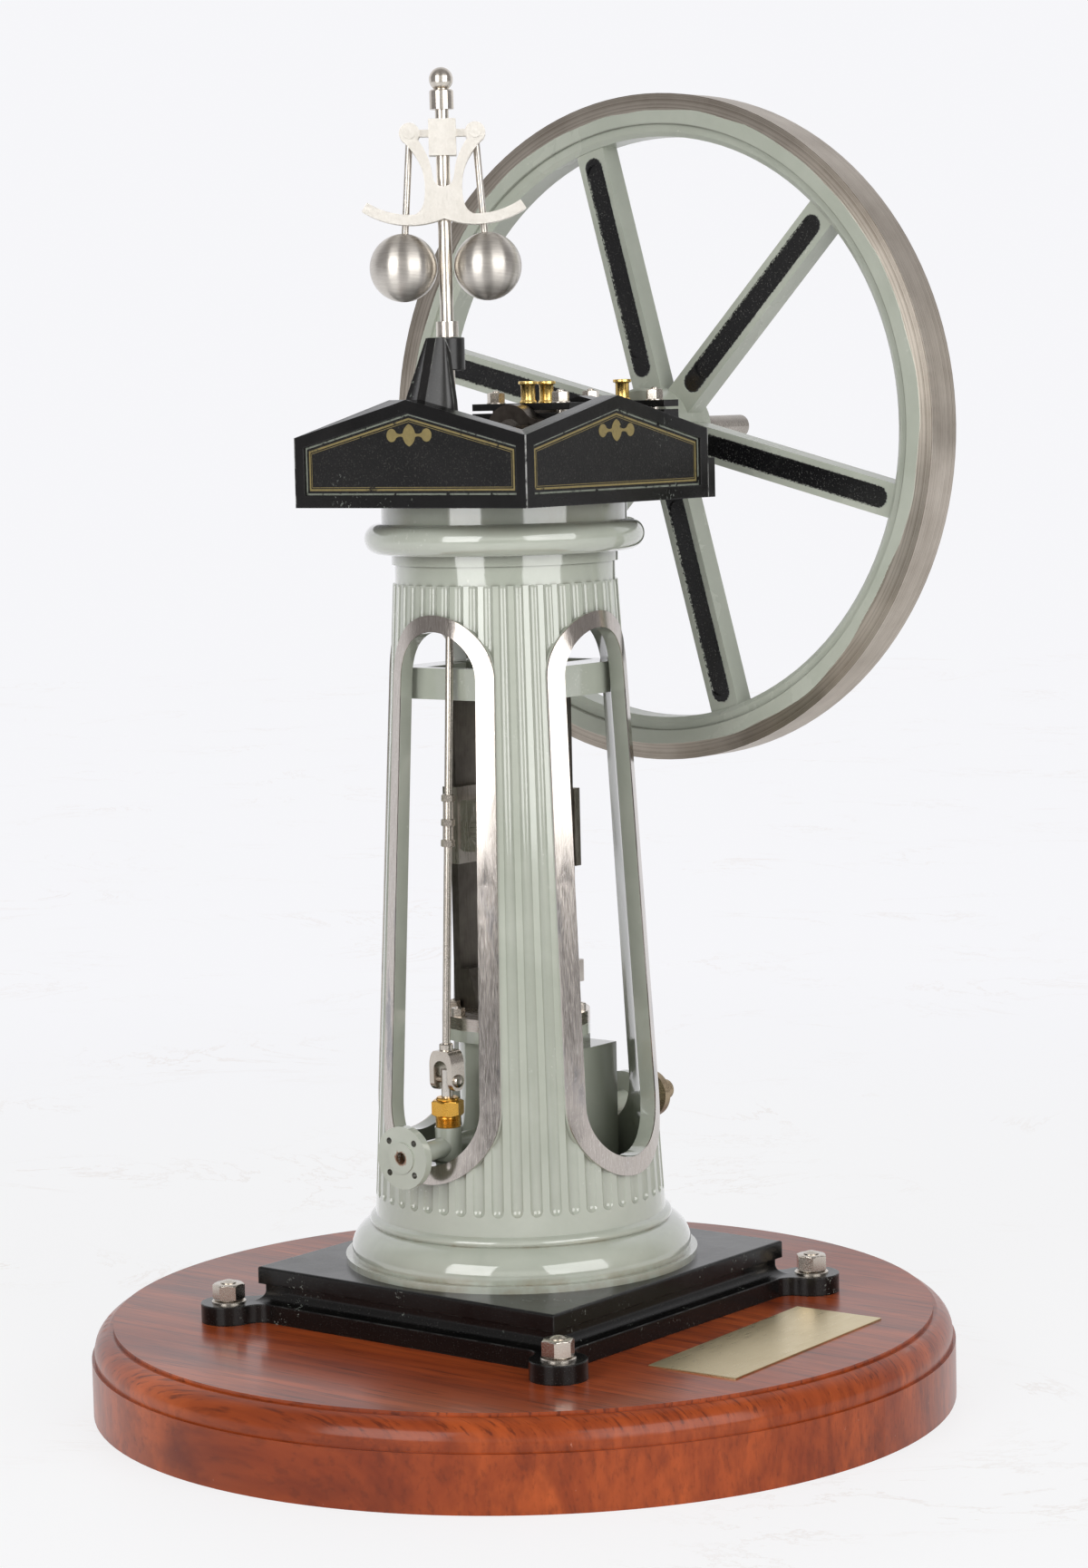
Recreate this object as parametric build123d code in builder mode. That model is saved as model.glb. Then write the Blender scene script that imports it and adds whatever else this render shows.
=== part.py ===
from build123d import *
import math
import os

os.makedirs("parts", exist_ok=True)

# A model column engine: a vertical cylinder inside a round arcaded column, its crankshaft on top.
# Lengths are millimetres. The origin is the centre of the plinth's underside and +Z is up.
# +Y runs along the crankshaft to the flywheel, and +X is the side that the crank points to at rest.

# Clearances shared by all pieces
overrun = 2.0
running_fit = 0.06
snug_fit = 0.02
side_play = 0.4
seat_gap = 0.2

# Plinth
plinth_radius = 127.0
plinth_height = 26.0
plinth_side_height = 16.5
plinth_groove = 0.9
plinth_top_step = 6.5
plinth_bead = 1.1
plinth_round_share = 0.8
bead_round_share = 1.2

# Base casting and its holding down bolts
flange_half = 58.0
flange_height = 5.5
lug_offset = 61.2
lug_radius = 8.2
lug_fillet = 5.0
waist_half = 53.5
waist_height = 5.0
waist_fillet = 3.0
top_half = 55.0
top_height = 5.0
top_round = 0.6
bolt_radius = 2.4
bolt_depth = 9.0
bolt_top = 6.7
nut_flats = 8.2
nut_height = 5.2
washer_radius = 5.0
washer_height = 0.6

# Column
column_lip_radius = 51.8
column_lip_height = 2.0
column_foot_height = 11.5
column_foot_bulge = 49.3
column_foot_neck = 44.0
column_bead = 43.6
shaft_low_radius = 42.7
shaft_low_height = 14.2
shaft_top_radius = 32.6
shaft_top_height = 198.5
band_radius = 32.0
band_height = 5.5
collar_radius = 32.9
collar_height = 3.0
torus_radius = 40.6
torus_height = 9.0
neck_radius = 35.6
neck_height = 5.0
neck_bore = 32.5
bore_low_radius = 39.0
bore_top_radius = 28.6
flute_count = 48
flute_low_radius = 2.0
flute_top_radius = 1.55
flute_low_lift = 0.95
flute_top_lift = 0.72
flute_start = 21.5
flute_end = 198.0

# Arched openings and their raised frames
arch_low_centre = 50.0
arch_top_centre = 171.8
arch_low_half = 16.45
arch_top_half = 13.85
frame_width_low = 5.35
frame_width_top = 4.75
frame_proud = 0.7
opening_count = 4

# Entablature: a deck inside four gabled plates
box_half = 42.5
box_wall = 6.2
deck_thickness = 4.5
eaves_height = 20.0
gable_height = 30.2
panel_border = 3.6
panel_depth = 1.0

# Crankshaft line, measured from the deck
shaft_height_over_deck = 15.0
shaft_radius = 4.5
shaft_end = 119.0
shaft_end_radius = 3.5
throw = 25.4

# Main bearings
pedestal_width = 7.0
pedestal_gap = 0.6
pedestal_half = 18.2
pedestal_top_rise = 6.1
pedestal_foot = 6.5
cap_gap = 0.8
cap_height = 2.0
cap_bolt_offset = 12.0
brass_radius = 6.2
cap_stud_radius = 1.1
cap_stud_depth = 6.0
cap_stud_top = 4.0
cap_nut_flats = 4.5
cap_nut_height = 2.9
outer_bearing_start = 54.5
cup_stem_radius = 1.0
cup_body_radius = 2.0
cup_body_height = 6.4
cup_lip_radius = 2.7
cup_foot_radius = 2.3
cup_lip_height = 1.0
cup_base_height = 1.3
cup_bore_radius = 1.2

# Bracket behind the rear plate that carries the outer bearing
bracket_flange = 3.2
bracket_flange_height = 11.5
bracket_drop = 5.0
bracket_rib = 5.0

# Crank web
web_front = 3.4
web_thickness = 5.0
web_boss_radius = 8.7
web_pin_boss_radius = 6.8
web_arm_half = 4.2
web_fillet = 6.0

# Crankpin and big end
pin_radius = 3.2
big_end_radius = 6.4
big_end_brass_radius = 4.9
rod_half_width = 3.0
pin_washer_thickness = 0.3

# Return crank that drives the governor shaft
return_thickness = 3.5
return_boss_radius = 3.9
return_pin_boss_radius = 5.2
return_arm_half = 2.6
return_fillet = 3.0
governor_shaft_radius = 2.2

# Eccentric
eccentric_throw = 2.5
sheave_radius = 8.4
sheave_width = 5.0
sheave_front = 18.7
strap_radius = 11.2
strap_width = 4.4
strap_ear_half = 14.0
strap_ear_height = 5.0
eccentric_rod_radius = 1.6
eccentric_eye_radius = 3.0
eccentric_eye_height = 83.0

# Flywheel
wheel_radius = 100.5
wheel_front = 72.1
rim_width = 13.0
rim_face_depth = 9.0
rim_inner_depth = 12.8
rim_step = 1.2
hub_radius = 12.6
hub_front = 66.3
hub_back = 86.5
spoke_count = 6
spoke_phase = 45.5
spoke_width = 10.2
spoke_thickness = 7.2
spoke_panel_width = 6.3
spoke_panel_depth = 0.6
spoke_panel_start = 22.5
spoke_panel_end = 83.5
spoke_fillet = 4.0

# Crosshead line, measured from the base casting's top
crosshead_height = 127.0
guide_inner = 16.6
guide_thickness = 2.5
guide_half_width = 5.0
guide_low = 78.0
guide_length = 87.5
guide_ring_height = 9.0
guide_ring_half = 24.0
guide_ring_bar = 3.5
guide_ring_back = 26.8
guide_ring_side_bar = 10.5
crosshead_half_width = 14.0
crosshead_half_depth = 7.0
crosshead_half_height = 7.5
slipper_half_height = 11.3
slipper_half_depth = 7.6
gudgeon_radius = 3.4
gudgeon_head_radius = 4.4
gudgeon_head = 1.5
fork_thickness = 4.6
fork_eye_radius = 6.2
fork_height = 22.0
fork_root = 6.0
fork_swing_room = 3.0
rod_low_radius = 2.2
rod_top_radius = 1.9
piston_rod_radius = 2.6
piston_radius = 13.4
piston_thickness = 8.0
piston_depth = 47.0

# Cylinder, measured from the base casting's top
cylinder_radius = 17.0
cylinder_bore = 13.5
cylinder_floor = 6.5
cylinder_flange_low = 65.9
cylinder_flange_height = 3.4
cylinder_flange_radius = 21.7
cover_height = 3.6
cover_stud_circle = 19.2
cover_stud_radius = 0.9
cover_nut_flats = 3.6
cover_nut_height = 2.3
cover_stud_count = 8
gland_radius = 6.5
gland_height = 6.0
foot_width = 10.0
foot_length = 6.4
foot_height = 11.5

# Steam chest
chest_half = 11.5
chest_start = 12.0
chest_end = 30.0
chest_low = 12.0
chest_top = 59.5
chest_cover = 3.0
valve_offset = 27.0
valve_radius = 1.5
valve_boss_half = 4.0
valve_boss_height = 7.2
valve_nut_flats = 6.4
valve_nut_height = 4.0
valve_knob_radius = 3.0
valve_knob_low = 77.6
valve_knob_height = 6.4
valve_knob_front = 23.6

# Exhaust
exhaust_height = 37.7
exhaust_radius = 3.2
exhaust_flange_radius = 9.0
exhaust_flange_start = 50.7
exhaust_flange = 2.5
exhaust_joint = 62.8
exhaust_joint_radius = 7.2
exhaust_neck_radius = 2.5
exhaust_plug_radius = 3.05
exhaust_plug_start = 67.4
exhaust_end = 73.5

# Throttle valve in the front opening
throttle_offset = 32.3
throttle_height = 37.7
throttle_barrel_radius = 3.9
throttle_barrel_low = 33.8
throttle_barrel_top = 43.4
throttle_neck_radius = 3.0
throttle_face = 53.2
throttle_flange_radius = 9.0
throttle_flange = 2.5
throttle_hole_circle = 6.45
throttle_hole_radius = 0.9
throttle_hole_count = 4
throttle_raised_radius = 4.5
throttle_raised = 0.5
throttle_bore = 1.7
throttle_seat = 0.8
gland_collar_radius = 3.7
gland_collar_height = 3.2
gland_hex_across = 8.2
gland_hex_height = 5.4
spindle_radius = 1.7
spindle_top = 60.0
fork_pin_height = 56.9
clevis_low = 54.0
clevis_slot_top = 61.2
clevis_shoulder = 65.6
clevis_top = 67.5
clevis_half = 4.1
clevis_half_depth = 2.9
clevis_slot = 4.0
clevis_pin_radius = 1.0
clevis_pin_head = 1.9
clevis_pin_head_height = 1.2
clevis_neck_radius = 2.0

# Governor
governor_offset = 23.5
governor_azimuth = 38.9
link_radius = 1.15
link_top = 5.5
link_nut_flats = 3.5
link_nut_height = 2.1
link_sleeve_radius = 1.5
link_sleeve_low = 124.0
link_sleeve_length = 15.0
link_hex_height = 3.2
stand_foot_half = 20.0
stand_foot_height = 3.0
stand_height = 43.0
stand_boss_radius = 4.8
stand_boss_low = 33.8
stand_waist_height = 25.0
stand_low_left = 14.0
stand_low_right = 9.0
stand_low_side_depth = 2.4
stand_low_ridge_depth = 7.4
stand_waist_left = 10.8
stand_waist_right = 7.3
stand_waist_side_depth = 1.6
stand_waist_ridge_depth = 7.3
stand_head_left = 4.7
stand_head_right = 2.4
stand_head_side_depth = 1.4
stand_head_ridge_depth = 4.4
stand_head_gap = 2.6
stand_gap = 0.6
stand_ridge_half = 1.6
spindle_rod_radius = 1.9
collar_ring_radius = 3.15
collar_ring_height = 4.3
bevel_face = 2.4
bevel_radius = 4.6
bevel_teeth = 14
bevel_tooth_width_share = 0.36
bevel_addendum = 0.3
bevel_dedendum = 0.6
bevel_hub_length = 1.5
pivot_height = 100.2
pivot_reach = 9.25
pivot_pin_radius = 1.6
eye_radius = 2.9
plate_inner = 2.1
plate_thickness = 1.5
arm_drop = 15.0
wing_outer_radius = 25.6
wing_inner_radius = 22.7
wing_tip_angle = 57.0
wing_sweep = 55.0
cross_bar_height = 2.0
block_half = 3.85
block_low = 93.9
block_top = 104.1
cap_neck_radius = 2.05
cap_low = 106.8
cap_top = 112.3
cap_radius = 3.4
finial_lift = 2.9
finial_radius = 3.4
arm_eye_radius = 2.4
arm_eye_half = 1.7
arm_rod_radius = 1.0
ball_reach = 11.9
ball_drop = 37.4
ball_radius = 9.6
inner_edge_shares = ((0.24, 0.93), (0.36, 0.66), (0.65, 0.21), (0.82, 0.06))
outer_edge_shares = ((1.26, 0.10), (1.07, 0.23), (0.65, 0.66), (0.57, 1.11), (0.72, 1.43), (1.0, 1.53))

# Heights worked out from the sizes above
base_low = plinth_height
lug_top = base_low + flange_height
base_top = base_low + flange_height + waist_height + top_height
shaft_low = base_top + shaft_low_height
shaft_top = base_top + shaft_top_height
collar_low = shaft_top + band_height
torus_low = collar_low + collar_height
neck_low = torus_low + torus_height
box_low = neck_low + neck_height
deck_top = box_low + deck_thickness
crank_height = deck_top + shaft_height_over_deck
pedestal_top = crank_height + pedestal_top_rise
cap_low_height = pedestal_top + cap_gap
cap_top_height = cap_low_height + cap_height
web_back = web_front + web_thickness
inner_bearing_start = web_back + pedestal_gap
outer_bearing_end = outer_bearing_start + pedestal_width
box_inner = box_half - box_wall
gudgeon_height = base_top + crosshead_height
rod_tilt = math.degrees(math.atan2(throw, crank_height - gudgeon_height))
rod_length = math.hypot(throw, crank_height - gudgeon_height)
return_back = -web_front
return_front = return_back - return_thickness
cylinder_top = base_top + cylinder_flange_low + cylinder_flange_height
cover_top = cylinder_top + cover_height
guide_bottom = base_top + guide_low
guide_top = guide_bottom + guide_length


def column_bore(height):
    """Radius of the column's inner wall at a height."""
    share = (height - base_top) / shaft_top_height
    return bore_low_radius + (bore_top_radius - bore_low_radius) * share


def shaft_surface(height):
    """Radius of the column's fluted shaft at a height, before the flutes are cut."""
    share = (height - shaft_low) / (shaft_top - shaft_low)
    return shaft_low_radius + (shaft_top_radius - shaft_low_radius) * share


def side_plane(angle, distance):
    """Upright plane that faces outwards, with its local y along +Z."""
    turn = math.radians(angle)
    outward = (math.cos(turn), math.sin(turn), 0)
    origin = (distance * outward[0], distance * outward[1], 0)
    return Plane(origin=origin, x_dir=(-outward[1], outward[0], 0), z_dir=outward)


def front_plane(y):
    """Upright plane at a place along the crankshaft, with local x along +X and local y along +Z."""
    return Plane.XZ.offset(-y)


def disc(plane, place, radius, depth, mode=Mode.ADD):
    """Round bar, or round hole, from a plane along its normal."""
    with BuildSketch(plane) as outline:
        with Locations(place):
            Circle(radius)
    extrude(outline.sketch, amount=depth, mode=mode)


def upright(x, y, low, top, radius, mode=Mode.ADD):
    """Vertical round bar or hole between two heights."""
    disc(Plane.XY.offset(low), (x, y), radius, top - low, mode)


def along_y(x, z, start, end, radius, mode=Mode.ADD):
    """Round bar or hole along the crankshaft's direction."""
    disc(front_plane(start), (x, z), radius, start - end, mode)


def block(x_low, x_high, y_low, y_high, low, top, mode=Mode.ADD):
    """Square block given by its limits."""
    with BuildSketch(Plane.XY.offset(low)) as outline:
        with Locations(((x_low + x_high) / 2, (y_low + y_high) / 2)):
            Rectangle(x_high - x_low, y_high - y_low)
    extrude(outline.sketch, amount=top - low, mode=mode)


def hex_nut(plane, place, flats, height, mode=Mode.ADD):
    """Hexagonal nut standing on a plane."""
    with BuildSketch(plane) as outline:
        with Locations(place):
            RegularPolygon(flats / 2, 6, major_radius=False)
    extrude(outline.sketch, amount=height, mode=mode)


def stud_and_nut(x, y, seat, depth, top, stud, flats, height):
    """Stud through a seat with a nut on it."""
    upright(x, y, seat - depth, seat + top, stud)
    hex_nut(Plane.XY.offset(seat), (x, y), flats, height)


# Round wooden plinth with a groove, a quarter round and a bead
with BuildPart() as plinth:
    with BuildSketch(Plane.XZ):
        with BuildLine():
            step_radius = plinth_radius - plinth_groove
            plinth_top_radius = plinth_radius - plinth_top_step
            groove_top = plinth_side_height + plinth_groove
            bead_radius = plinth_top_radius + plinth_bead
            bead_low = plinth_height - plinth_bead
            Line((0, 0), (plinth_radius, 0))
            Line((plinth_radius, 0), (plinth_radius, plinth_side_height))
            Line((plinth_radius, plinth_side_height), (step_radius, plinth_side_height))
            Line((step_radius, plinth_side_height), (step_radius, groove_top))
            round_span = math.hypot(step_radius - bead_radius, bead_low - groove_top)
            RadiusArc((step_radius, groove_top), (bead_radius, bead_low), -round_span * plinth_round_share)
            Line((bead_radius, bead_low), (plinth_top_radius, bead_low))
            Line((plinth_top_radius, bead_low), (plinth_top_radius, plinth_height))
            Line((plinth_top_radius, plinth_height), (0, plinth_height))
            Line((0, plinth_height), (0, 0))
        make_face()
    revolve(axis=Axis.Z)
    with BuildSketch(Plane.XY.offset(plinth_height)):
        with GridLocations(2 * lug_offset, 2 * lug_offset, 2, 2):
            Circle(bolt_radius + snug_fit)
    extrude(amount=-bolt_depth, mode=Mode.SUBTRACT)

# Square base casting with a lug at each corner
with BuildPart() as base_plate:
    with BuildSketch(Plane.XY.offset(base_low)) as lug_outline:
        Rectangle(2 * flange_half, 2 * flange_half)
        with GridLocations(2 * lug_offset, 2 * lug_offset, 2, 2):
            Circle(lug_radius)
        fillet(lug_outline.vertices(), radius=lug_fillet)
        with GridLocations(2 * lug_offset, 2 * lug_offset, 2, 2):
            Circle(bolt_radius + snug_fit, mode=Mode.SUBTRACT)
    extrude(amount=flange_height)
    with BuildSketch(Plane.XY.offset(lug_top)):
        Rectangle(2 * waist_half, 2 * waist_half)
    extrude(amount=waist_height)
    waist_foot = [
        edge
        for edge in base_plate.edges().filter_by_position(Axis.Z, lug_top, lug_top)
        if math.hypot(edge.center().X, edge.center().Y) < (waist_half + flange_half) / 2
        and edge.length > lug_radius
    ]
    fillet(waist_foot, radius=waist_fillet)
    with BuildSketch(Plane.XY.offset(lug_top + waist_height)):
        Rectangle(2 * top_half, 2 * top_half)
    extrude(amount=top_height)
    fillet(base_plate.edges().group_by(Axis.Z)[-1], radius=top_round)

# Four studs with washers and nuts
with BuildPart() as holding_bolts:
    for bolt_x in (-lug_offset, lug_offset):
        for bolt_y in (-lug_offset, lug_offset):
            upright(bolt_x, bolt_y, plinth_height - bolt_depth, lug_top + bolt_top, bolt_radius)
            upright(bolt_x, bolt_y, lug_top, lug_top + washer_height, washer_radius)
            seat = Plane.XY.offset(lug_top + washer_height)
            hex_nut(seat, (bolt_x, bolt_y), nut_flats, nut_height)

# One tapered cutter for a flute, its ends round
flute_low = base_top + flute_start
flute_high = base_top + flute_end
flute_foot = (shaft_surface(flute_low) + flute_low_lift, flute_low)
flute_head = (shaft_surface(flute_high) + flute_top_lift, flute_high)
flute_length = math.hypot(flute_head[0] - flute_foot[0], flute_head[1] - flute_foot[1])
flute_rise = (
    (flute_head[0] - flute_foot[0]) / flute_length,
    0,
    (flute_head[1] - flute_foot[1]) / flute_length,
)
with BuildPart() as flute_cutter:
    groove = Plane(origin=(flute_foot[0], 0, flute_foot[1]), x_dir=flute_rise, z_dir=(0, 1, 0))
    with BuildSketch(groove):
        with BuildLine():
            RadiusArc((-flute_low_radius, 0), (0, flute_low_radius), flute_low_radius)
            Line((0, flute_low_radius), (flute_length, flute_top_radius))
            RadiusArc(
                (flute_length, flute_top_radius),
                (flute_length + flute_top_radius, 0),
                flute_top_radius,
            )
            Line((flute_length + flute_top_radius, 0), (-flute_low_radius, 0))
        make_face()
    revolve(axis=Axis((flute_foot[0], 0, flute_foot[1]), flute_rise))

# Fluted column with four arched openings, each in a raised machined frame
arch_low = base_top + arch_low_centre
arch_top = base_top + arch_top_centre


def arch_prisms(low_half, top_half):
    """Tapered slots with round ends, driven outwards through each side of the column."""
    with BuildPart() as prisms:
        for side in range(opening_count):
            with BuildSketch(side_plane(side * 360 / opening_count, shaft_radius)):
                with Locations((0, arch_low)):
                    Circle(low_half)
                with Locations((0, arch_top)):
                    Circle(top_half)
                make_hull()
        extrude(amount=column_lip_radius)
    return prisms.part


frame_low = arch_low - arch_low_half - frame_width_low - overrun
frame_top = arch_top + arch_top_half + frame_width_top + overrun
with BuildPart() as arch_frames:
    with BuildSketch(Plane.XZ):
        with BuildLine():
            Polyline(
                (column_bore(frame_low), frame_low),
                (shaft_surface(frame_low) + frame_proud, frame_low),
                (shaft_surface(frame_top) + frame_proud, frame_top),
                (column_bore(frame_top), frame_top),
                close=True,
            )
        make_face()
    revolve(axis=Axis.Z)
    add(arch_prisms(arch_low_half + frame_width_low, arch_top_half + frame_width_top), mode=Mode.INTERSECT)

with BuildPart() as column:
    with BuildSketch(Plane.XZ):
        with BuildLine():
            lip_top = base_top + column_lip_height
            foot_top = base_top + column_foot_height
            foot_mid = (lip_top + foot_top) / 2
            bulge_start = column_lip_radius - column_lip_height
            bead_top = foot_top + plinth_bead * 2
            torus_start = torus_radius - torus_height / 2
            Polyline(
                (bore_low_radius, base_top),
                (column_lip_radius, base_top),
                (column_lip_radius, lip_top),
                (bulge_start, lip_top),
            )
            ThreePointArc((bulge_start, lip_top), (column_foot_bulge, foot_mid), (column_foot_neck, foot_top))
            RadiusArc((column_foot_neck, foot_top), (column_bead, bead_top), -plinth_bead * bead_round_share)
            Line((column_bead, bead_top), (shaft_low_radius, shaft_low))
            Line((shaft_low_radius, shaft_low), (shaft_top_radius, shaft_top))
            Polyline(
                (shaft_top_radius, shaft_top),
                (band_radius, shaft_top),
                (band_radius, collar_low),
                (collar_radius, collar_low),
                (collar_radius, torus_low),
                (torus_start, torus_low),
            )
            ThreePointArc(
                (torus_start, torus_low),
                (torus_radius, (torus_low + neck_low) / 2),
                (torus_start, neck_low),
            )
            Polyline(
                (torus_start, neck_low),
                (neck_radius, neck_low),
                (neck_radius, box_low),
                (neck_bore, box_low),
                (neck_bore, torus_low + collar_height),
                (bore_top_radius, torus_low),
                (bore_top_radius, shaft_top),
                (bore_low_radius, base_top),
            )
        make_face()
    revolve(axis=Axis.Z)
    with PolarLocations(0, flute_count):
        add(flute_cutter.part, mode=Mode.SUBTRACT)
    add(arch_frames.part)
    add(arch_prisms(arch_low_half, arch_top_half), mode=Mode.SUBTRACT)

# Deck that closes the box's floor around the column's neck
with BuildPart() as deck:
    with BuildSketch(Plane.XY.offset(box_low)):
        Rectangle(2 * box_inner, 2 * box_inner)
        Circle(neck_bore, mode=Mode.SUBTRACT)
    extrude(amount=deck_thickness)


def gable(plane, half, inset):
    """Pentagon of a gabled plate, drawn in from its edges."""
    with BuildSketch(plane) as outline:
        with BuildLine():
            Polyline(
                (-half, box_low),
                (half, box_low),
                (half, box_low + eaves_height),
                (0, box_low + gable_height),
                (-half, box_low + eaves_height),
                close=True,
            )
        make_face()
        if inset:
            offset(amount=-inset, kind=Kind.INTERSECTION, mode=Mode.REPLACE)
    return outline.sketch


def gabled_plate(angle, framed):
    """One mitred side of the box, with a sunk panel on its outer face."""
    with BuildPart() as plate:
        extrude(gable(side_plane(angle, box_inner), box_half, 0), amount=box_wall)
        with BuildSketch(Plane.XY.offset(box_low)):
            with BuildLine(Plane.XY.rotated((0, 0, angle))):
                Polyline(
                    (box_inner, -box_inner),
                    (box_half, -box_half),
                    (box_half, box_half),
                    (box_inner, box_inner),
                    close=True,
                )
            make_face()
        extrude(amount=gable_height, mode=Mode.INTERSECT)
        if framed:
            panel = gable(side_plane(angle, box_half), box_half, panel_border)
            extrude(panel, amount=-panel_depth, mode=Mode.SUBTRACT)
        else:
            along_y(
                0,
                crank_height,
                box_inner - overrun,
                box_half + overrun,
                shaft_radius + side_play * 2,
                Mode.SUBTRACT,
            )
    return plate


gable_right = gabled_plate(0, True)
gable_rear = gabled_plate(90, False)
gable_left = gabled_plate(180, True)
gable_front = gabled_plate(270, True)


def pedestal(front, seat, foot_half):
    """Bearing block along X with a split for the brass at its top."""
    with BuildPart() as stand:
        with BuildSketch(front_plane(front)):
            with Locations((0, seat + pedestal_foot / 2)):
                Rectangle(2 * foot_half, pedestal_foot)
            with Locations((0, (seat + pedestal_top) / 2)):
                Rectangle(2 * pedestal_half, pedestal_top - seat)
            with Locations((0, crank_height)):
                Circle(brass_radius + snug_fit, mode=Mode.SUBTRACT)
        extrude(amount=-pedestal_width)
        with BuildSketch(Plane.XY.offset(pedestal_top)):
            with Locations(
                (-cap_bolt_offset, front + pedestal_width / 2),
                (cap_bolt_offset, front + pedestal_width / 2),
            ):
                Circle(cap_stud_radius + snug_fit)
        extrude(amount=-cap_stud_depth, mode=Mode.SUBTRACT)
    return stand


def bearing_cap(front):
    """Flat keep over the brass, with holes for two studs and an oil cup."""
    middle = front + pedestal_width / 2
    with BuildPart() as cap:
        block(-pedestal_half, pedestal_half, front, front + pedestal_width, cap_low_height, cap_top_height)
        along_y(
            0,
            crank_height,
            front - overrun,
            front + pedestal_width + overrun,
            brass_radius + snug_fit,
            Mode.SUBTRACT,
        )
        with BuildSketch(Plane.XY.offset(cap_top_height)):
            with Locations((-cap_bolt_offset, middle), (cap_bolt_offset, middle)):
                Circle(cap_stud_radius + snug_fit)
            with Locations((0, middle)):
                Circle(cup_stem_radius + snug_fit)
        extrude(amount=-cap_height, mode=Mode.SUBTRACT)
    return cap


def oil_cup(y, seat, stem_depth):
    """Turned brass cup with a lip, open at the top, made in the part being built."""
    body_low = seat + cup_base_height
    lip_low = seat + cup_body_height - cup_lip_height
    upright(0, y, seat - stem_depth, body_low, cup_stem_radius)
    upright(0, y, seat, body_low, cup_foot_radius)
    upright(0, y, body_low, lip_low, cup_body_radius)
    upright(0, y, lip_low, seat + cup_body_height, cup_lip_radius)
    upright(0, y, body_low + cup_base_height, seat + cup_body_height, cup_bore_radius, Mode.SUBTRACT)


pedestal_inner = pedestal(inner_bearing_start, deck_top, box_inner)
pedestal_outer = pedestal(outer_bearing_start, box_low + bracket_flange_height, pedestal_half)
cap_inner = bearing_cap(inner_bearing_start)
cap_outer = bearing_cap(outer_bearing_start)
bearing_starts = (inner_bearing_start, outer_bearing_start)

# Round brasses that the crankshaft turns in
with BuildPart() as main_brasses:
    for start in bearing_starts:
        with BuildSketch(front_plane(start)):
            with Locations((0, crank_height)):
                Circle(brass_radius)
                Circle(shaft_radius + running_fit, mode=Mode.SUBTRACT)
        extrude(amount=-pedestal_width)

# Two studs and nuts on each cap
stud_depth = cap_height + cap_gap + cap_stud_depth
with BuildPart() as cap_studs:
    for start in bearing_starts:
        for x in (-cap_bolt_offset, cap_bolt_offset):
            middle = start + pedestal_width / 2
            stud_and_nut(
                x,
                middle,
                cap_top_height,
                stud_depth,
                cap_stud_top,
                cap_stud_radius,
                cap_nut_flats,
                cap_nut_height,
            )

with BuildPart() as oil_cups:
    for start in bearing_starts:
        oil_cup(start + pedestal_width / 2, cap_top_height, cap_height / 2)

# Corbel bolted to the back of the box, with two ribs under its shelf
with BuildPart() as rear_bracket:
    shelf_top = box_low + bracket_flange_height
    flange_back = box_half + bracket_flange
    block(-box_half, box_half, box_half, flange_back, box_low, shelf_top)
    block(-pedestal_half, pedestal_half, flange_back, outer_bearing_end, shelf_top - bracket_drop, shelf_top)
    for rib in (-pedestal_half, pedestal_half - bracket_rib):
        with BuildSketch(Plane.YZ.offset(rib)):
            with BuildLine():
                Polyline(
                    (flange_back, box_low),
                    (flange_back + bracket_drop, box_low),
                    (outer_bearing_end, shelf_top - bracket_drop),
                    (flange_back, shelf_top - bracket_drop),
                    close=True,
                )
            make_face()
        extrude(amount=bracket_rib)

# Turned crankshaft
with BuildPart() as crankshaft:
    along_y(0, crank_height, web_front, hub_back + side_play, shaft_radius)
    along_y(0, crank_height, web_front, shaft_end, shaft_end_radius)
    chamfer(crankshaft.faces().sort_by(Axis.Y)[-1].edges(), length=side_play)


def crank_arm(front, back, boss, pin_boss, arm_half, corner, bore):
    """Waisted web from the shaft's boss to the pin's boss along +X."""
    with BuildPart() as arm:
        with BuildSketch(front_plane(front)) as outline:
            with Locations((0, crank_height)):
                Circle(boss)
            with Locations((throw, crank_height)):
                Circle(pin_boss)
            with Locations((throw / 2, crank_height)):
                Rectangle(throw, 2 * arm_half)
            waist = [point for point in outline.vertices() if side_play < point.X < throw - side_play]
            fillet(waist, radius=corner)
            with Locations((0, crank_height)):
                Circle(bore + snug_fit, mode=Mode.SUBTRACT)
        extrude(amount=front - back)
    return arm


crank_web = crank_arm(
    web_front,
    web_back,
    web_boss_radius,
    web_pin_boss_radius,
    web_arm_half,
    web_fillet,
    shaft_radius,
)
return_crank = crank_arm(
    return_front,
    return_back,
    return_boss_radius,
    return_pin_boss_radius,
    return_arm_half,
    return_fillet,
    governor_shaft_radius,
)

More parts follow.
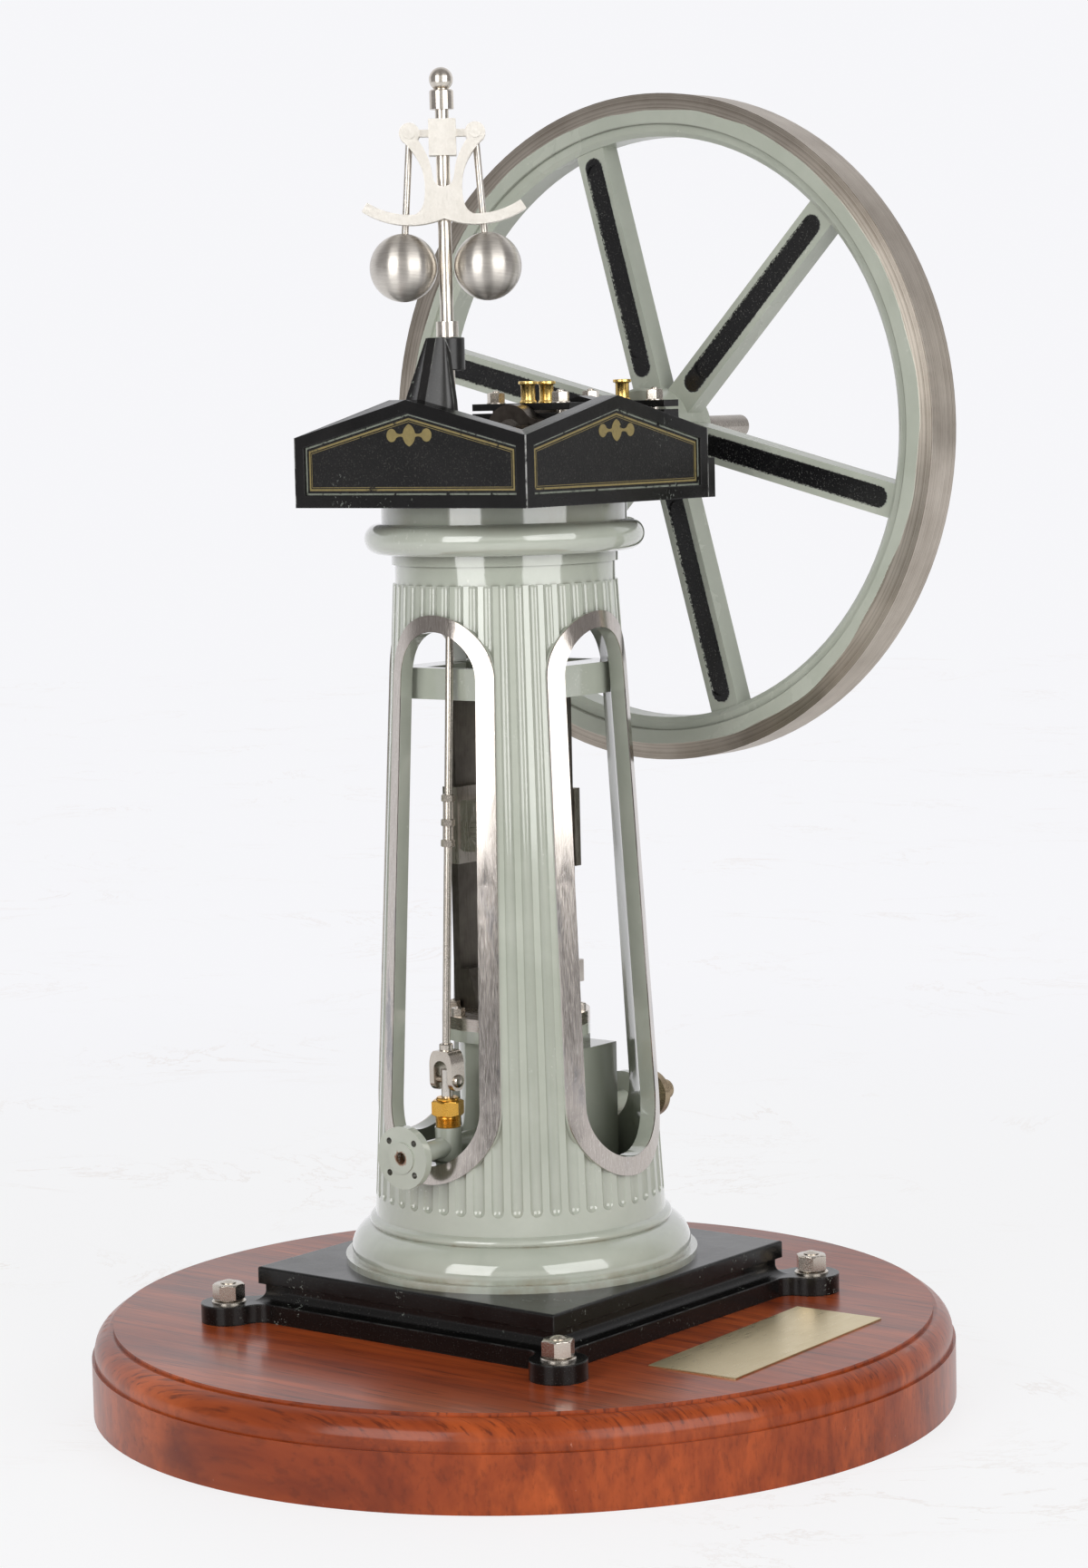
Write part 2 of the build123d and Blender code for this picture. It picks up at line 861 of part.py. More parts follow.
# Flywheel: stepped rim, tapered hub and six panelled spokes
wheel_middle = wheel_front + rim_width / 2
with BuildPart() as flywheel:
    with BuildSketch(Plane.YZ):
        with BuildLine():
            wheel_back = wheel_front + rim_width
            rim_top = crank_height + wheel_radius
            rim_face = rim_top - rim_face_depth
            rim_shelf = rim_face - rim_step * 2
            rim_inside = rim_top - rim_inner_depth
            Polyline(
                (wheel_front, rim_top),
                (wheel_back, rim_top),
                (wheel_back, rim_face),
                (wheel_back - rim_step, rim_face),
                (wheel_back - rim_step, rim_shelf),
                (wheel_back - 2 * rim_step, rim_inside),
                (wheel_front + 2 * rim_step, rim_inside),
                (wheel_front + rim_step, rim_shelf),
                (wheel_front + rim_step, rim_face),
                (wheel_front, rim_face),
                close=True,
            )
        make_face()
    revolve(axis=Axis((0, 0, crank_height), (0, 1, 0)))
    rim_bore = wheel_radius - rim_inner_depth
    with BuildSketch(front_plane(wheel_middle - spoke_thickness / 2)) as spokes:
        with Locations((0, crank_height)):
            Circle(rim_bore + rim_step)
            Circle(rim_bore, mode=Mode.SUBTRACT)
            Circle(hub_radius)
        for turn in range(spoke_count):
            with Locations(Location((0, crank_height), spoke_phase + turn * 360 / spoke_count)):
                with Locations((rim_bore / 2, 0)):
                    Rectangle(rim_bore + rim_step, spoke_width)
        corners = [
            point
            for point in spokes.vertices()
            if math.hypot(point.X, point.Z - crank_height) < rim_bore + rim_step / 2
        ]
        fillet(corners, radius=spoke_fillet)
    extrude(amount=-spoke_thickness)
    along_y(0, crank_height, hub_front, hub_back, hub_radius)
    for face_y, inward in ((wheel_middle - spoke_thickness / 2, -1), (wheel_middle + spoke_thickness / 2, 1)):
        with BuildSketch(front_plane(face_y)):
            for turn in range(spoke_count):
                with Locations(Location((0, crank_height), spoke_phase + turn * 360 / spoke_count)):
                    with Locations(((spoke_panel_start + spoke_panel_end) / 2, 0)):
                        SlotOverall(spoke_panel_end - spoke_panel_start, spoke_panel_width)
        extrude(amount=inward * spoke_panel_depth, mode=Mode.SUBTRACT)
    along_y(0, crank_height, hub_front - overrun, hub_back + overrun, shaft_radius + snug_fit, Mode.SUBTRACT)
    chamfer(flywheel.edges().group_by(Axis.Y)[0].sort_by(SortBy.RADIUS)[-1:], length=side_play * 2)
    chamfer(flywheel.edges().group_by(Axis.Y)[-1].sort_by(SortBy.RADIUS)[-1:], length=side_play * 2)

# Eccentric sheave, its centre below the shaft at rest
sheave_height = crank_height - eccentric_throw
sheave_middle = sheave_front + sheave_width / 2
with BuildPart() as eccentric_sheave:
    along_y(0, sheave_height, sheave_front, sheave_front + sheave_width, sheave_radius)
    along_y(
        0,
        crank_height,
        sheave_front - overrun,
        sheave_front + sheave_width + overrun,
        shaft_radius + snug_fit,
        Mode.SUBTRACT,
    )

# Eccentric strap with clamp ears, its rod and the eye at the rod's foot
eye_height = base_top + eccentric_eye_height
strap_front = sheave_middle - strap_width / 2
strap_back = sheave_middle + strap_width / 2
with BuildPart() as eccentric_strap:
    with BuildSketch(front_plane(strap_front)):
        with Locations((0, sheave_height)):
            Circle(strap_radius)
            Rectangle(2 * strap_ear_half, strap_ear_height)
            Circle(sheave_radius + running_fit, mode=Mode.SUBTRACT)
    extrude(amount=-strap_width)
    upright(0, sheave_middle, eye_height, sheave_height - sheave_radius - side_play, eccentric_rod_radius)
    along_y(0, eye_height, strap_front + side_play, strap_back - side_play, eccentric_eye_radius)
    along_y(0, eye_height, strap_front, strap_back, valve_radius, Mode.SUBTRACT)
    for ear in (-1, 1):
        ear_x = ear * (sheave_radius + strap_ear_half) / 2
        hex_nut(
            Plane.XY.offset(sheave_height + strap_ear_height / 2),
            (ear_x + ear * side_play, sheave_middle),
            cover_nut_flats,
            cover_nut_height,
        )

with BuildPart() as strap_cup:
    oil_cup(sheave_middle, sheave_height + strap_radius + seat_gap / 2, 0)

# Connecting rod: forked foot, tapered shank, round big end; built upright and then leant over
fork_inner = crosshead_half_depth + side_play
fork_outer = fork_inner + fork_thickness
big_end_height = gudgeon_height + rod_length
lean_axis = Axis((0, 0, gudgeon_height), (0, 1, 0))
shank_low = gudgeon_height + fork_height
shank_top = big_end_height - big_end_radius
slot_top = gudgeon_height + crosshead_half_height + fork_swing_room


def leant(piece):
    """Turns an upright piece about the gudgeon pin to the rod's rest position."""
    return piece.part.rotate(lean_axis, rod_tilt)


with BuildPart() as rod_upright:
    with BuildSketch(front_plane(-fork_outer)):
        with Locations((0, gudgeon_height)):
            Circle(fork_eye_radius)
        with Locations((0, shank_low)):
            Circle(fork_root / 2)
        make_hull()
    extrude(amount=-2 * fork_outer)
    with BuildSketch(Plane.YZ.offset(-fork_eye_radius)):
        with BuildLine():
            Polyline(
                (-fork_inner, gudgeon_height - fork_eye_radius - overrun),
                (fork_inner, gudgeon_height - fork_eye_radius - overrun),
                (fork_inner, slot_top),
                (0, shank_low - fork_root / 2),
                (-fork_inner, slot_top),
                close=True,
            )
        make_face()
    extrude(amount=2 * fork_eye_radius, mode=Mode.SUBTRACT)
    for cheek in (-1, 1):
        with BuildSketch(Plane.YZ.offset(-fork_eye_radius)):
            with BuildLine():
                Polyline(
                    (cheek * fork_outer, gudgeon_height + crosshead_half_height),
                    (cheek * fork_outer, shank_low + fork_root),
                    (cheek * rod_low_radius, shank_low + fork_root),
                    (cheek * rod_low_radius, shank_low),
                    close=True,
                )
            make_face()
        extrude(amount=2 * fork_eye_radius, mode=Mode.SUBTRACT)
    with BuildSketch(Plane.XY.offset(shank_low)):
        Circle(rod_low_radius)
    with BuildSketch(Plane.XY.offset(shank_top + overrun)):
        Circle(rod_top_radius)
    loft()
    with BuildSketch(front_plane(-rod_half_width)):
        with Locations((0, big_end_height)):
            Circle(big_end_radius)
            Rectangle(2 * big_end_radius, big_end_radius)
            Circle(big_end_brass_radius + snug_fit, mode=Mode.SUBTRACT)
    extrude(amount=-2 * rod_half_width)
    along_y(
        0,
        big_end_height,
        -rod_half_width,
        rod_half_width,
        big_end_brass_radius + snug_fit,
        Mode.SUBTRACT,
    )
    along_y(0, gudgeon_height, -fork_outer, fork_outer, gudgeon_radius + running_fit, Mode.SUBTRACT)

with BuildPart() as connecting_rod:
    add(leant(rod_upright))

with BuildPart() as big_end_brass:
    with BuildSketch(front_plane(-rod_half_width)):
        with Locations((throw, crank_height)):
            Circle(big_end_brass_radius)
            Circle(pin_radius + snug_fit, mode=Mode.SUBTRACT)
    extrude(amount=-2 * rod_half_width)

with BuildPart() as crankpin:
    along_y(
        throw,
        crank_height,
        -rod_half_width - pin_washer_thickness,
        rod_half_width + pin_washer_thickness,
        pin_radius,
    )

# Crosshead block with the gudgeon pin across it
with BuildPart() as crosshead:
    block(
        -crosshead_half_width,
        crosshead_half_width,
        -crosshead_half_depth,
        crosshead_half_depth,
        gudgeon_height - crosshead_half_height,
        gudgeon_height + crosshead_half_height,
    )
    fillet(crosshead.edges().filter_by(Axis.Y), radius=side_play * 4)
    along_y(
        0,
        gudgeon_height,
        -crosshead_half_depth,
        crosshead_half_depth,
        gudgeon_radius + snug_fit,
        Mode.SUBTRACT,
    )
    upright(
        0,
        0,
        gudgeon_height - crosshead_half_height - overrun,
        gudgeon_height - gudgeon_radius - side_play,
        piston_rod_radius + snug_fit,
        Mode.SUBTRACT,
    )

with BuildPart() as gudgeon_pin:
    head_start = fork_outer + side_play
    along_y(0, gudgeon_height, -head_start, head_start, gudgeon_radius)
    along_y(0, gudgeon_height, -head_start - gudgeon_head, -head_start, gudgeon_head_radius)
    along_y(0, gudgeon_height, head_start, head_start + gudgeon_head, gudgeon_head_radius)


# Two brass shoes, each around three sides of a guide bar
with BuildPart() as slippers:
    for hand in (-1, 1):
        inner = crosshead_half_width
        outer = guide_inner + guide_thickness + side_play
        low, high = sorted((hand * inner, hand * outer))
        block(
            low,
            high,
            -slipper_half_depth,
            slipper_half_depth,
            gudgeon_height - slipper_half_height,
            gudgeon_height + slipper_half_height,
        )
        low, high = sorted((hand * (guide_inner - running_fit), hand * (outer + overrun)))
        block(
            low,
            high,
            -guide_half_width - running_fit,
            guide_half_width + running_fit,
            gudgeon_height - slipper_half_height - overrun,
            gudgeon_height + slipper_half_height + overrun,
            Mode.SUBTRACT,
        )

# Piston rod with its piston
piston_middle = base_top + piston_depth - piston_thickness
with BuildPart() as piston_rod:
    upright(0, 0, piston_middle, gudgeon_height - gudgeon_radius - side_play * 2, piston_rod_radius)
    upright(0, 0, piston_middle - piston_thickness / 2, piston_middle + piston_thickness / 2, piston_radius)

# Flat steel bars between the feet on the cylinder cover and the ring above
with BuildPart() as guide_bars:
    for hand in (-1, 1):
        low, high = sorted((hand * guide_inner, hand * (guide_inner + guide_thickness)))
        block(low, high, -guide_half_width, guide_half_width, guide_bottom, guide_top)

# Ring of bars inside the column that holds the guides' upper ends
ring_reach = column_bore(guide_top + guide_ring_height) - side_play / 4
with BuildPart() as guide_ring:
    block(
        -guide_ring_half,
        guide_ring_half,
        -guide_ring_half,
        guide_ring_back,
        guide_top,
        guide_top + guide_ring_height,
    )
    with BuildSketch(Plane.XY.offset(guide_top)):
        Circle(ring_reach)
    extrude(amount=guide_ring_height, mode=Mode.INTERSECT)
    block(
        guide_ring_side_bar - guide_ring_half,
        guide_ring_half - guide_ring_side_bar,
        guide_ring_bar - guide_ring_half,
        guide_ring_back - guide_ring_bar,
        guide_top - overrun,
        guide_top + guide_ring_height + overrun,
        Mode.SUBTRACT,
    )
    rod_slot = guide_inner + guide_thickness
    block(
        -rod_slot,
        rod_slot,
        -rod_low_radius - side_play,
        rod_low_radius + side_play,
        guide_top - overrun,
        guide_top + guide_ring_height + overrun,
        Mode.SUBTRACT,
    )

# Cylinder with its upper flange
with BuildPart() as cylinder:
    upright(0, 0, base_top, cylinder_top, cylinder_radius)
    upright(0, 0, base_top + cylinder_flange_low, cylinder_top, cylinder_flange_radius)
    upright(0, 0, base_top + cylinder_floor, cylinder_top + overrun, cylinder_bore, Mode.SUBTRACT)
    with BuildSketch(Plane.XY.offset(cylinder_top)):
        with PolarLocations(cover_stud_circle, cover_stud_count, start_angle=180 / cover_stud_count):
            Circle(cover_stud_radius + snug_fit)
    extrude(amount=-cylinder_flange_height, mode=Mode.SUBTRACT)

with BuildPart() as cylinder_cover:
    with BuildSketch(Plane.XY.offset(cylinder_top)):
        Circle(cylinder_flange_radius)
        Circle(piston_rod_radius + running_fit, mode=Mode.SUBTRACT)
        with PolarLocations(cover_stud_circle, cover_stud_count, start_angle=180 / cover_stud_count):
            Circle(cover_stud_radius + snug_fit, mode=Mode.SUBTRACT)
    extrude(amount=cover_height)

with BuildPart() as cover_studs:
    with BuildSketch(Plane.XY.offset(cylinder_top - cylinder_flange_height)):
        with PolarLocations(cover_stud_circle, cover_stud_count, start_angle=180 / cover_stud_count):
            Circle(cover_stud_radius)
    extrude(amount=cylinder_flange_height + cover_height + cover_nut_height + side_play)
    with BuildSketch(Plane.XY.offset(cover_top)):
        with PolarLocations(cover_stud_circle, cover_stud_count, start_angle=180 / cover_stud_count):
            RegularPolygon(cover_nut_flats / 2, 6, major_radius=False)
    extrude(amount=cover_nut_height)

with BuildPart() as piston_gland:
    upright(0, 0, cover_top, cover_top + gland_height / 2, gland_radius)
    hex_nut(
        Plane.XY.offset(cover_top + gland_height / 2),
        (0, 0),
        gland_radius * 2 - side_play * 4,
        gland_height / 2,
    )
    upright(0, 0, cover_top, cover_top + gland_height, piston_rod_radius + running_fit, Mode.SUBTRACT)

# Tapered blocks on the cylinder cover that the guide bars are bolted to
with BuildPart() as guide_feet:
    for hand in (-1, 1):
        outer = guide_inner
        inner = guide_inner - foot_length
        with BuildSketch(Plane.XZ.offset(-foot_width / 2)):
            with BuildLine():
                Polyline(
                    (hand * inner, cover_top),
                    (hand * outer, cover_top),
                    (hand * outer, cover_top + foot_height),
                    (hand * (outer - foot_length / 2), cover_top + foot_height),
                    close=True,
                )
            make_face()
        extrude(amount=foot_width)
        low, high = sorted((hand * outer, hand * (outer + guide_thickness)))
        block(low, high, -foot_width / 2, foot_width / 2, cover_top, guide_bottom)

# Steam chest against the cylinder, with a bolted cover and a boss for the valve spindle
chest_bottom = base_top + chest_low
chest_roof = base_top + chest_top
with BuildPart() as steam_chest:
    block(-chest_half, chest_half, chest_start, chest_end, chest_bottom, chest_roof)
    upright(0, 0, chest_bottom - overrun, chest_roof + overrun, cylinder_radius + snug_fit, Mode.SUBTRACT)
    block(
        -valve_boss_half,
        valve_boss_half,
        valve_offset - valve_boss_half,
        chest_end,
        chest_roof,
        chest_roof + valve_boss_height,
    )
    upright(
        0,
        valve_offset,
        base_top + chest_top / 2,
        chest_roof + valve_boss_height,
        valve_radius + snug_fit,
        Mode.SUBTRACT,
    )

with BuildPart() as chest_cover_plate:
    block(-chest_half, chest_half, chest_end, chest_end + chest_cover, chest_bottom, chest_roof)
    exhaust_z = base_top + exhaust_height
    along_y(0, exhaust_z, chest_end, chest_end + chest_cover, exhaust_radius + snug_fit, Mode.SUBTRACT)

with BuildPart() as valve_gland:
    gland_seat = chest_roof + valve_boss_height
    hex_nut(Plane.XY.offset(gland_seat), (0, valve_offset), valve_nut_flats, valve_nut_height)
    upright(
        0,
        valve_offset,
        gland_seat,
        gland_seat + valve_nut_height,
        valve_radius + snug_fit,
        Mode.SUBTRACT,
    )

with BuildPart() as valve_spindle:
    knob_low = base_top + valve_knob_low
    upright(0, valve_offset, base_top + chest_top / 2, knob_low, valve_radius)
    block(
        -valve_knob_radius,
        valve_knob_radius,
        valve_knob_front,
        valve_offset + valve_knob_radius,
        knob_low,
        knob_low + valve_knob_height,
    )
    fillet(valve_spindle.edges().filter_by(Axis.Z).sort_by(Axis.Z)[-4:], radius=valve_radius)

# Exhaust branch out through the rear opening
with BuildPart() as exhaust_pipe:
    along_y(0, exhaust_z, chest_end, exhaust_joint, exhaust_radius)
    along_y(0, exhaust_z, exhaust_flange_start, exhaust_flange_start + exhaust_flange, exhaust_flange_radius)

with BuildPart() as exhaust_joint_ring:
    along_y(0, exhaust_z, exhaust_joint, exhaust_joint + exhaust_flange, exhaust_joint_radius)
    along_y(0, exhaust_z, exhaust_joint, exhaust_plug_start, exhaust_neck_radius)
    along_y(0, exhaust_z, exhaust_plug_start, exhaust_end, exhaust_plug_radius)
    chamfer(exhaust_joint_ring.edges().group_by(Axis.Y)[-1], length=side_play * 2)

# Throttle valve: flanged inlet, elbow and brass gland
throttle_z = base_top + throttle_height
throttle_top = base_top + throttle_barrel_top
spindle_low = throttle_z + throttle_bore + throttle_seat
with BuildPart() as throttle_body:
    upright(0, -throttle_offset, base_top + throttle_barrel_low, throttle_top, throttle_barrel_radius)
    along_y(0, throttle_z, -throttle_face, -cylinder_radius, throttle_neck_radius)
    along_y(0, throttle_z, -throttle_face, throttle_flange - throttle_face, throttle_flange_radius)
    along_y(0, throttle_z, -throttle_face - throttle_raised, -throttle_face, throttle_raised_radius)
    upright(
        0,
        0,
        throttle_z - throttle_flange_radius,
        throttle_z + throttle_flange_radius,
        cylinder_radius + snug_fit,
        Mode.SUBTRACT,
    )
    along_y(
        0,
        throttle_z,
        -throttle_face - throttle_raised - overrun,
        -throttle_offset,
        throttle_bore,
        Mode.SUBTRACT,
    )
    upright(0, -throttle_offset, spindle_low, throttle_top, spindle_radius + snug_fit, Mode.SUBTRACT)
    with BuildSketch(front_plane(-throttle_face)):
        with Locations((0, throttle_z)):
            with PolarLocations(
                throttle_hole_circle,
                throttle_hole_count,
                start_angle=180 / throttle_hole_count,
            ):
                Circle(throttle_hole_radius)
    extrude(amount=-throttle_flange, mode=Mode.SUBTRACT)

with BuildPart() as throttle_gland:
    hex_low = throttle_top + gland_collar_height
    upright(0, -throttle_offset, throttle_top, hex_low, gland_collar_radius)
    hex_nut(Plane.XY.offset(hex_low), (0, -throttle_offset), gland_hex_across, gland_hex_height)
    upright(
        0,
        -throttle_offset,
        throttle_top,
        hex_low + gland_hex_height,
        spindle_radius + snug_fit,
        Mode.SUBTRACT,
    )

with BuildPart() as throttle_spindle:
    upright(0, -throttle_offset, spindle_low, base_top + spindle_top, spindle_radius)
    pin_z = base_top + fork_pin_height
    disc(
        Plane.YZ.offset(-clevis_half),
        (-throttle_offset, pin_z),
        clevis_pin_radius,
        2 * clevis_half,
        Mode.SUBTRACT,
    )

# Link from the throttle's clevis up to the governor, with a turnbuckle
with BuildPart() as governor_link:
    block(
        -clevis_half,
        clevis_half,
        -throttle_offset - clevis_half_depth,
        clevis_half_depth - throttle_offset,
        base_top + clevis_low,
        base_top + clevis_shoulder,
    )
    shoulder = governor_link.edges().filter_by(Axis.Y).sort_by(Axis.Z)[-2:]
    chamfer(shoulder, length=clevis_half - clevis_neck_radius)
    block(
        -clevis_slot / 2,
        clevis_slot / 2,
        -throttle_offset - clevis_half_depth - overrun,
        clevis_half_depth - throttle_offset + overrun,
        base_top + clevis_low - overrun,
        base_top + clevis_slot_top,
        Mode.SUBTRACT,
    )
    disc(
        Plane.YZ.offset(-clevis_half),
        (-throttle_offset, pin_z),
        clevis_pin_radius + snug_fit,
        2 * clevis_half,
        Mode.SUBTRACT,
    )
    link_low = base_top + clevis_shoulder
    link_high = deck_top + link_top
    upright(0, -throttle_offset, link_low, base_top + clevis_top, clevis_neck_radius)
    link_turn = math.atan2(throttle_offset - governor_offset, link_high - link_low)
    link_length = (link_high - link_low) / math.cos(link_turn)
    link_plane = Plane(
        origin=(0, -throttle_offset, link_low),
        x_dir=(1, 0, 0),
        z_dir=(0, math.sin(link_turn), math.cos(link_turn)),
    )
    disc(link_plane, (0, 0), link_radius, link_length)
    sleeve_low = base_top + link_sleeve_low - link_low
    disc(link_plane.offset(sleeve_low), (0, 0), link_sleeve_radius, link_sleeve_length - link_nut_height)
    for step in (0, (link_sleeve_length - link_hex_height) / 2, link_sleeve_length - link_nut_height):
        hex_nut(link_plane.offset(sleeve_low + step), (0, 0), link_nut_flats, link_nut_height)

with BuildPart() as clevis_pin:
    reach = clevis_half + clevis_pin_head_height
    disc(Plane.YZ.offset(-reach), (-throttle_offset, pin_z), clevis_pin_radius - snug_fit, 2 * reach)
    disc(Plane.YZ.offset(-reach), (-throttle_offset, pin_z), clevis_pin_head, clevis_pin_head_height)
    disc(Plane.YZ.offset(clevis_half), (-throttle_offset, pin_z), clevis_pin_head, clevis_pin_head_height)

# Governor stand: ribbed plate on a foot, with two bosses for the spindle
stand_back = -governor_offset - bevel_radius - stand_gap
boss_low = deck_top + stand_boss_low
stand_top = deck_top + stand_height


def stand_section(height, back, left, right, side_depth, ridge_depth):
    """Level cross-section of the governor stand: a plate with a ridge towards the front."""
    with BuildSketch(Plane.XY.offset(height)) as section:
        with BuildLine():
            Polyline(
                (-left, back),
                (-left, back - side_depth),
                (-stand_ridge_half, back - ridge_depth),
                (stand_ridge_half, back - ridge_depth),
                (right, back - side_depth),
                (right, back),
                close=True,
            )
        make_face()
    return section.sketch


with BuildPart() as governor_stand:
    block(-stand_foot_half, stand_foot_half, -box_inner, stand_back, deck_top, deck_top + stand_foot_height)
    low_section = stand_section(
        deck_top + stand_foot_height,
        stand_back,
        stand_low_left,
        stand_low_right,
        stand_low_side_depth,
        stand_low_ridge_depth,
    )
    waist_section = stand_section(
        deck_top + stand_waist_height,
        stand_back,
        stand_waist_left,
        stand_waist_right,
        stand_waist_side_depth,
        stand_waist_ridge_depth,
    )
    head_section = stand_section(
        stand_top,
        -governor_offset - stand_head_gap,
        stand_head_left,
        stand_head_right,
        stand_head_side_depth,
        stand_head_ridge_depth,
    )
    loft(sections=[low_section, waist_section], ruled=True)
    loft(sections=[waist_section, head_section], ruled=True)
    upright(0, -governor_offset, boss_low, stand_top, stand_boss_radius)
    upright(0, -governor_offset, deck_top, stand_top, spindle_rod_radius + running_fit, Mode.SUBTRACT)

# Bevel pair: both wheels alike, teeth run to the point where the axes meet
bevel_apex = (0, -governor_offset, crank_height)
tooth_pitch = 2 * math.pi * bevel_radius / bevel_teeth


def bevel_gear(tooth_offset, bore):
    """Mitre wheel on +Z with its cone's apex at the origin and teeth along the cone."""
    narrow = bevel_radius - bevel_face
    half_wide = tooth_pitch * bevel_tooth_width_share / 2
    half_narrow = half_wide * narrow / bevel_radius
    tooth_middle = (bevel_addendum - bevel_dedendum) / 2 - running_fit
    tooth_height = bevel_addendum + bevel_dedendum + 2 * running_fit
    with BuildPart() as wheel:
        with BuildSketch(Plane.XZ):
            with BuildLine():
                Polyline(
                    (0, narrow),
                    (narrow - bevel_dedendum, narrow),
                    (bevel_radius - bevel_dedendum, bevel_radius),
                    (bevel_radius - bevel_dedendum, bevel_radius + bevel_hub_length),
                    (0, bevel_radius + bevel_hub_length),
                    close=True,
                )
            make_face()
        revolve(axis=Axis.Z)
        for tooth in range(bevel_teeth):
            tooth_plane = Plane.XY.rotated((0, 0, tooth_offset + tooth * 360 / bevel_teeth))
            with BuildSketch(tooth_plane.offset(narrow)):
                with Locations((narrow + tooth_middle, 0)):
                    Rectangle(tooth_height, 2 * half_narrow)
            with BuildSketch(tooth_plane.offset(bevel_radius)):
                with Locations((bevel_radius + tooth_middle, 0)):
                    Rectangle(tooth_height, 2 * half_wide)
            loft()
        upright(0, 0, 0, bevel_radius + bevel_hub_length + overrun, bore + snug_fit, Mode.SUBTRACT)
    return wheel


drive_wheel = bevel_gear(0, governor_shaft_radius)
driven_wheel = bevel_gear(180 / bevel_teeth, spindle_rod_radius)
with BuildPart() as governor_gear:
    turned = Plane(origin=bevel_apex, x_dir=(1, 0, 0), z_dir=(0, 1, 0))
    add(drive_wheel.part.moved(turned.location))
with BuildPart() as governor_pinion:
    lifted = Plane(origin=bevel_apex, x_dir=(1, 0, 0), z_dir=(0, 0, 1))
    add(driven_wheel.part.moved(lifted.location))

# Short shaft from the return crank to the gear
with BuildPart() as governor_shaft:
    along_y(0, crank_height, -governor_offset + bevel_radius - bevel_face, return_back, governor_shaft_radius)

# Governor spindle with its collar, block and finial
governor_axis = (0, -governor_offset)
with BuildPart() as governor_spindle:
    upright(*governor_axis, crank_height + bevel_radius - bevel_face, deck_top + cap_low, spindle_rod_radius)
    upright(
        *governor_axis,
        stand_top + seat_gap,
        stand_top + seat_gap + collar_ring_height,
        collar_ring_radius,
    )
    upright(*governor_axis, deck_top + cap_low, deck_top + cap_top, cap_radius)
    upright(*governor_axis, deck_top + cap_top, deck_top + cap_top + finial_lift, cap_neck_radius)
    chamfer(governor_spindle.edges().filter_by(GeomType.CIRCLE).sort_by(SortBy.RADIUS)[-1:], length=side_play)

head_turn = math.radians(governor_azimuth)
head_x = (math.cos(head_turn), math.sin(head_turn), 0)
head_out = (math.sin(head_turn), -math.cos(head_turn), 0)
pivot_z = deck_top + pivot_height


def head_plane(depth):
    """Plane of the governor's frame, at a depth in front of the spindle's axis."""
    origin = (head_out[0] * depth, head_out[1] * depth - governor_offset, 0)
    return Plane(origin=origin, x_dir=head_x, z_dir=head_out)


def head_point(share_x, share_z):
    """Outline point from shares of the pivot's reach and of the arm's drop."""
    return (share_x * pivot_reach, pivot_z - share_z * arm_drop)


# Governor frame: two plates with curved arms and wings, joined by a hub and a cross bar
with BuildPart() as governor_frame:
    for side_depth in (-plate_inner - plate_thickness, plate_inner):
        with BuildSketch(head_plane(side_depth)):
            with BuildLine():
                inner_edge = Spline(
                    (0, pivot_z - arm_drop),
                    *[head_point(*pair) for pair in inner_edge_shares],
                )
                outer_edge = Spline(*[head_point(*pair) for pair in outer_edge_shares])
                Line(inner_edge @ 1, outer_edge @ 0)
                Line(outer_edge @ 1, (0, pivot_z - wing_inner_radius))
                Line((0, pivot_z - wing_inner_radius), inner_edge @ 0)
            make_face()
            with BuildLine():
                inner_arc = CenterArc((pivot_reach, pivot_z), wing_inner_radius, -wing_tip_angle, -wing_sweep)
                outer_arc = CenterArc((pivot_reach, pivot_z), wing_outer_radius, -wing_tip_angle, -wing_sweep)
                Line(inner_arc @ 0, outer_arc @ 0)
                Line(inner_arc @ 1, outer_arc @ 1)
            make_face()
            with Locations((pivot_reach, pivot_z)):
                Circle(eye_radius)
            mirror(about=Plane.YZ)
        extrude(amount=plate_thickness)
    cross_bar_half = pivot_reach - arm_eye_radius - side_play
    for bar_low, bar_top, bar_half in (
        (pivot_z - wing_inner_radius, pivot_z - arm_drop - side_play, block_half),
        (pivot_z - cross_bar_height / 2, pivot_z + cross_bar_height / 2, cross_bar_half),
    ):
        with BuildSketch(head_plane(-plate_inner)):
            with Locations((0, (bar_low + bar_top) / 2)):
                Rectangle(2 * bar_half, bar_top - bar_low)
        extrude(amount=2 * plate_inner)
    with BuildSketch(head_plane(-block_half)):
        with Locations((0, deck_top + (block_low + block_top) / 2)):
            Rectangle(2 * block_half, block_top - block_low)
    extrude(amount=2 * block_half)
    for reach in (-pivot_reach, pivot_reach):
        pin_half = plate_inner + plate_thickness + side_play
        disc(head_plane(-pin_half), (reach, pivot_z), pivot_pin_radius, 2 * pin_half)
    upright(*governor_axis, deck_top, deck_top + cap_low, spindle_rod_radius + snug_fit, Mode.SUBTRACT)

# Ball on top of the spindle
with BuildPart() as finial:
    finial_z = deck_top + cap_top + finial_lift
    with BuildSketch(Plane(origin=(0, -governor_offset, finial_z), x_dir=(1, 0, 0), z_dir=(0, -1, 0))):
        with BuildLine():
            Line((0, -finial_radius), (0, finial_radius))
            RadiusArc((0, finial_radius), (0, -finial_radius), finial_radius)
        make_face()
    revolve(axis=Axis((0, -governor_offset, finial_z), (0, 0, 1)))
    upright(*governor_axis, finial_z - finial_radius, finial_z, cap_neck_radius + snug_fit, Mode.SUBTRACT)


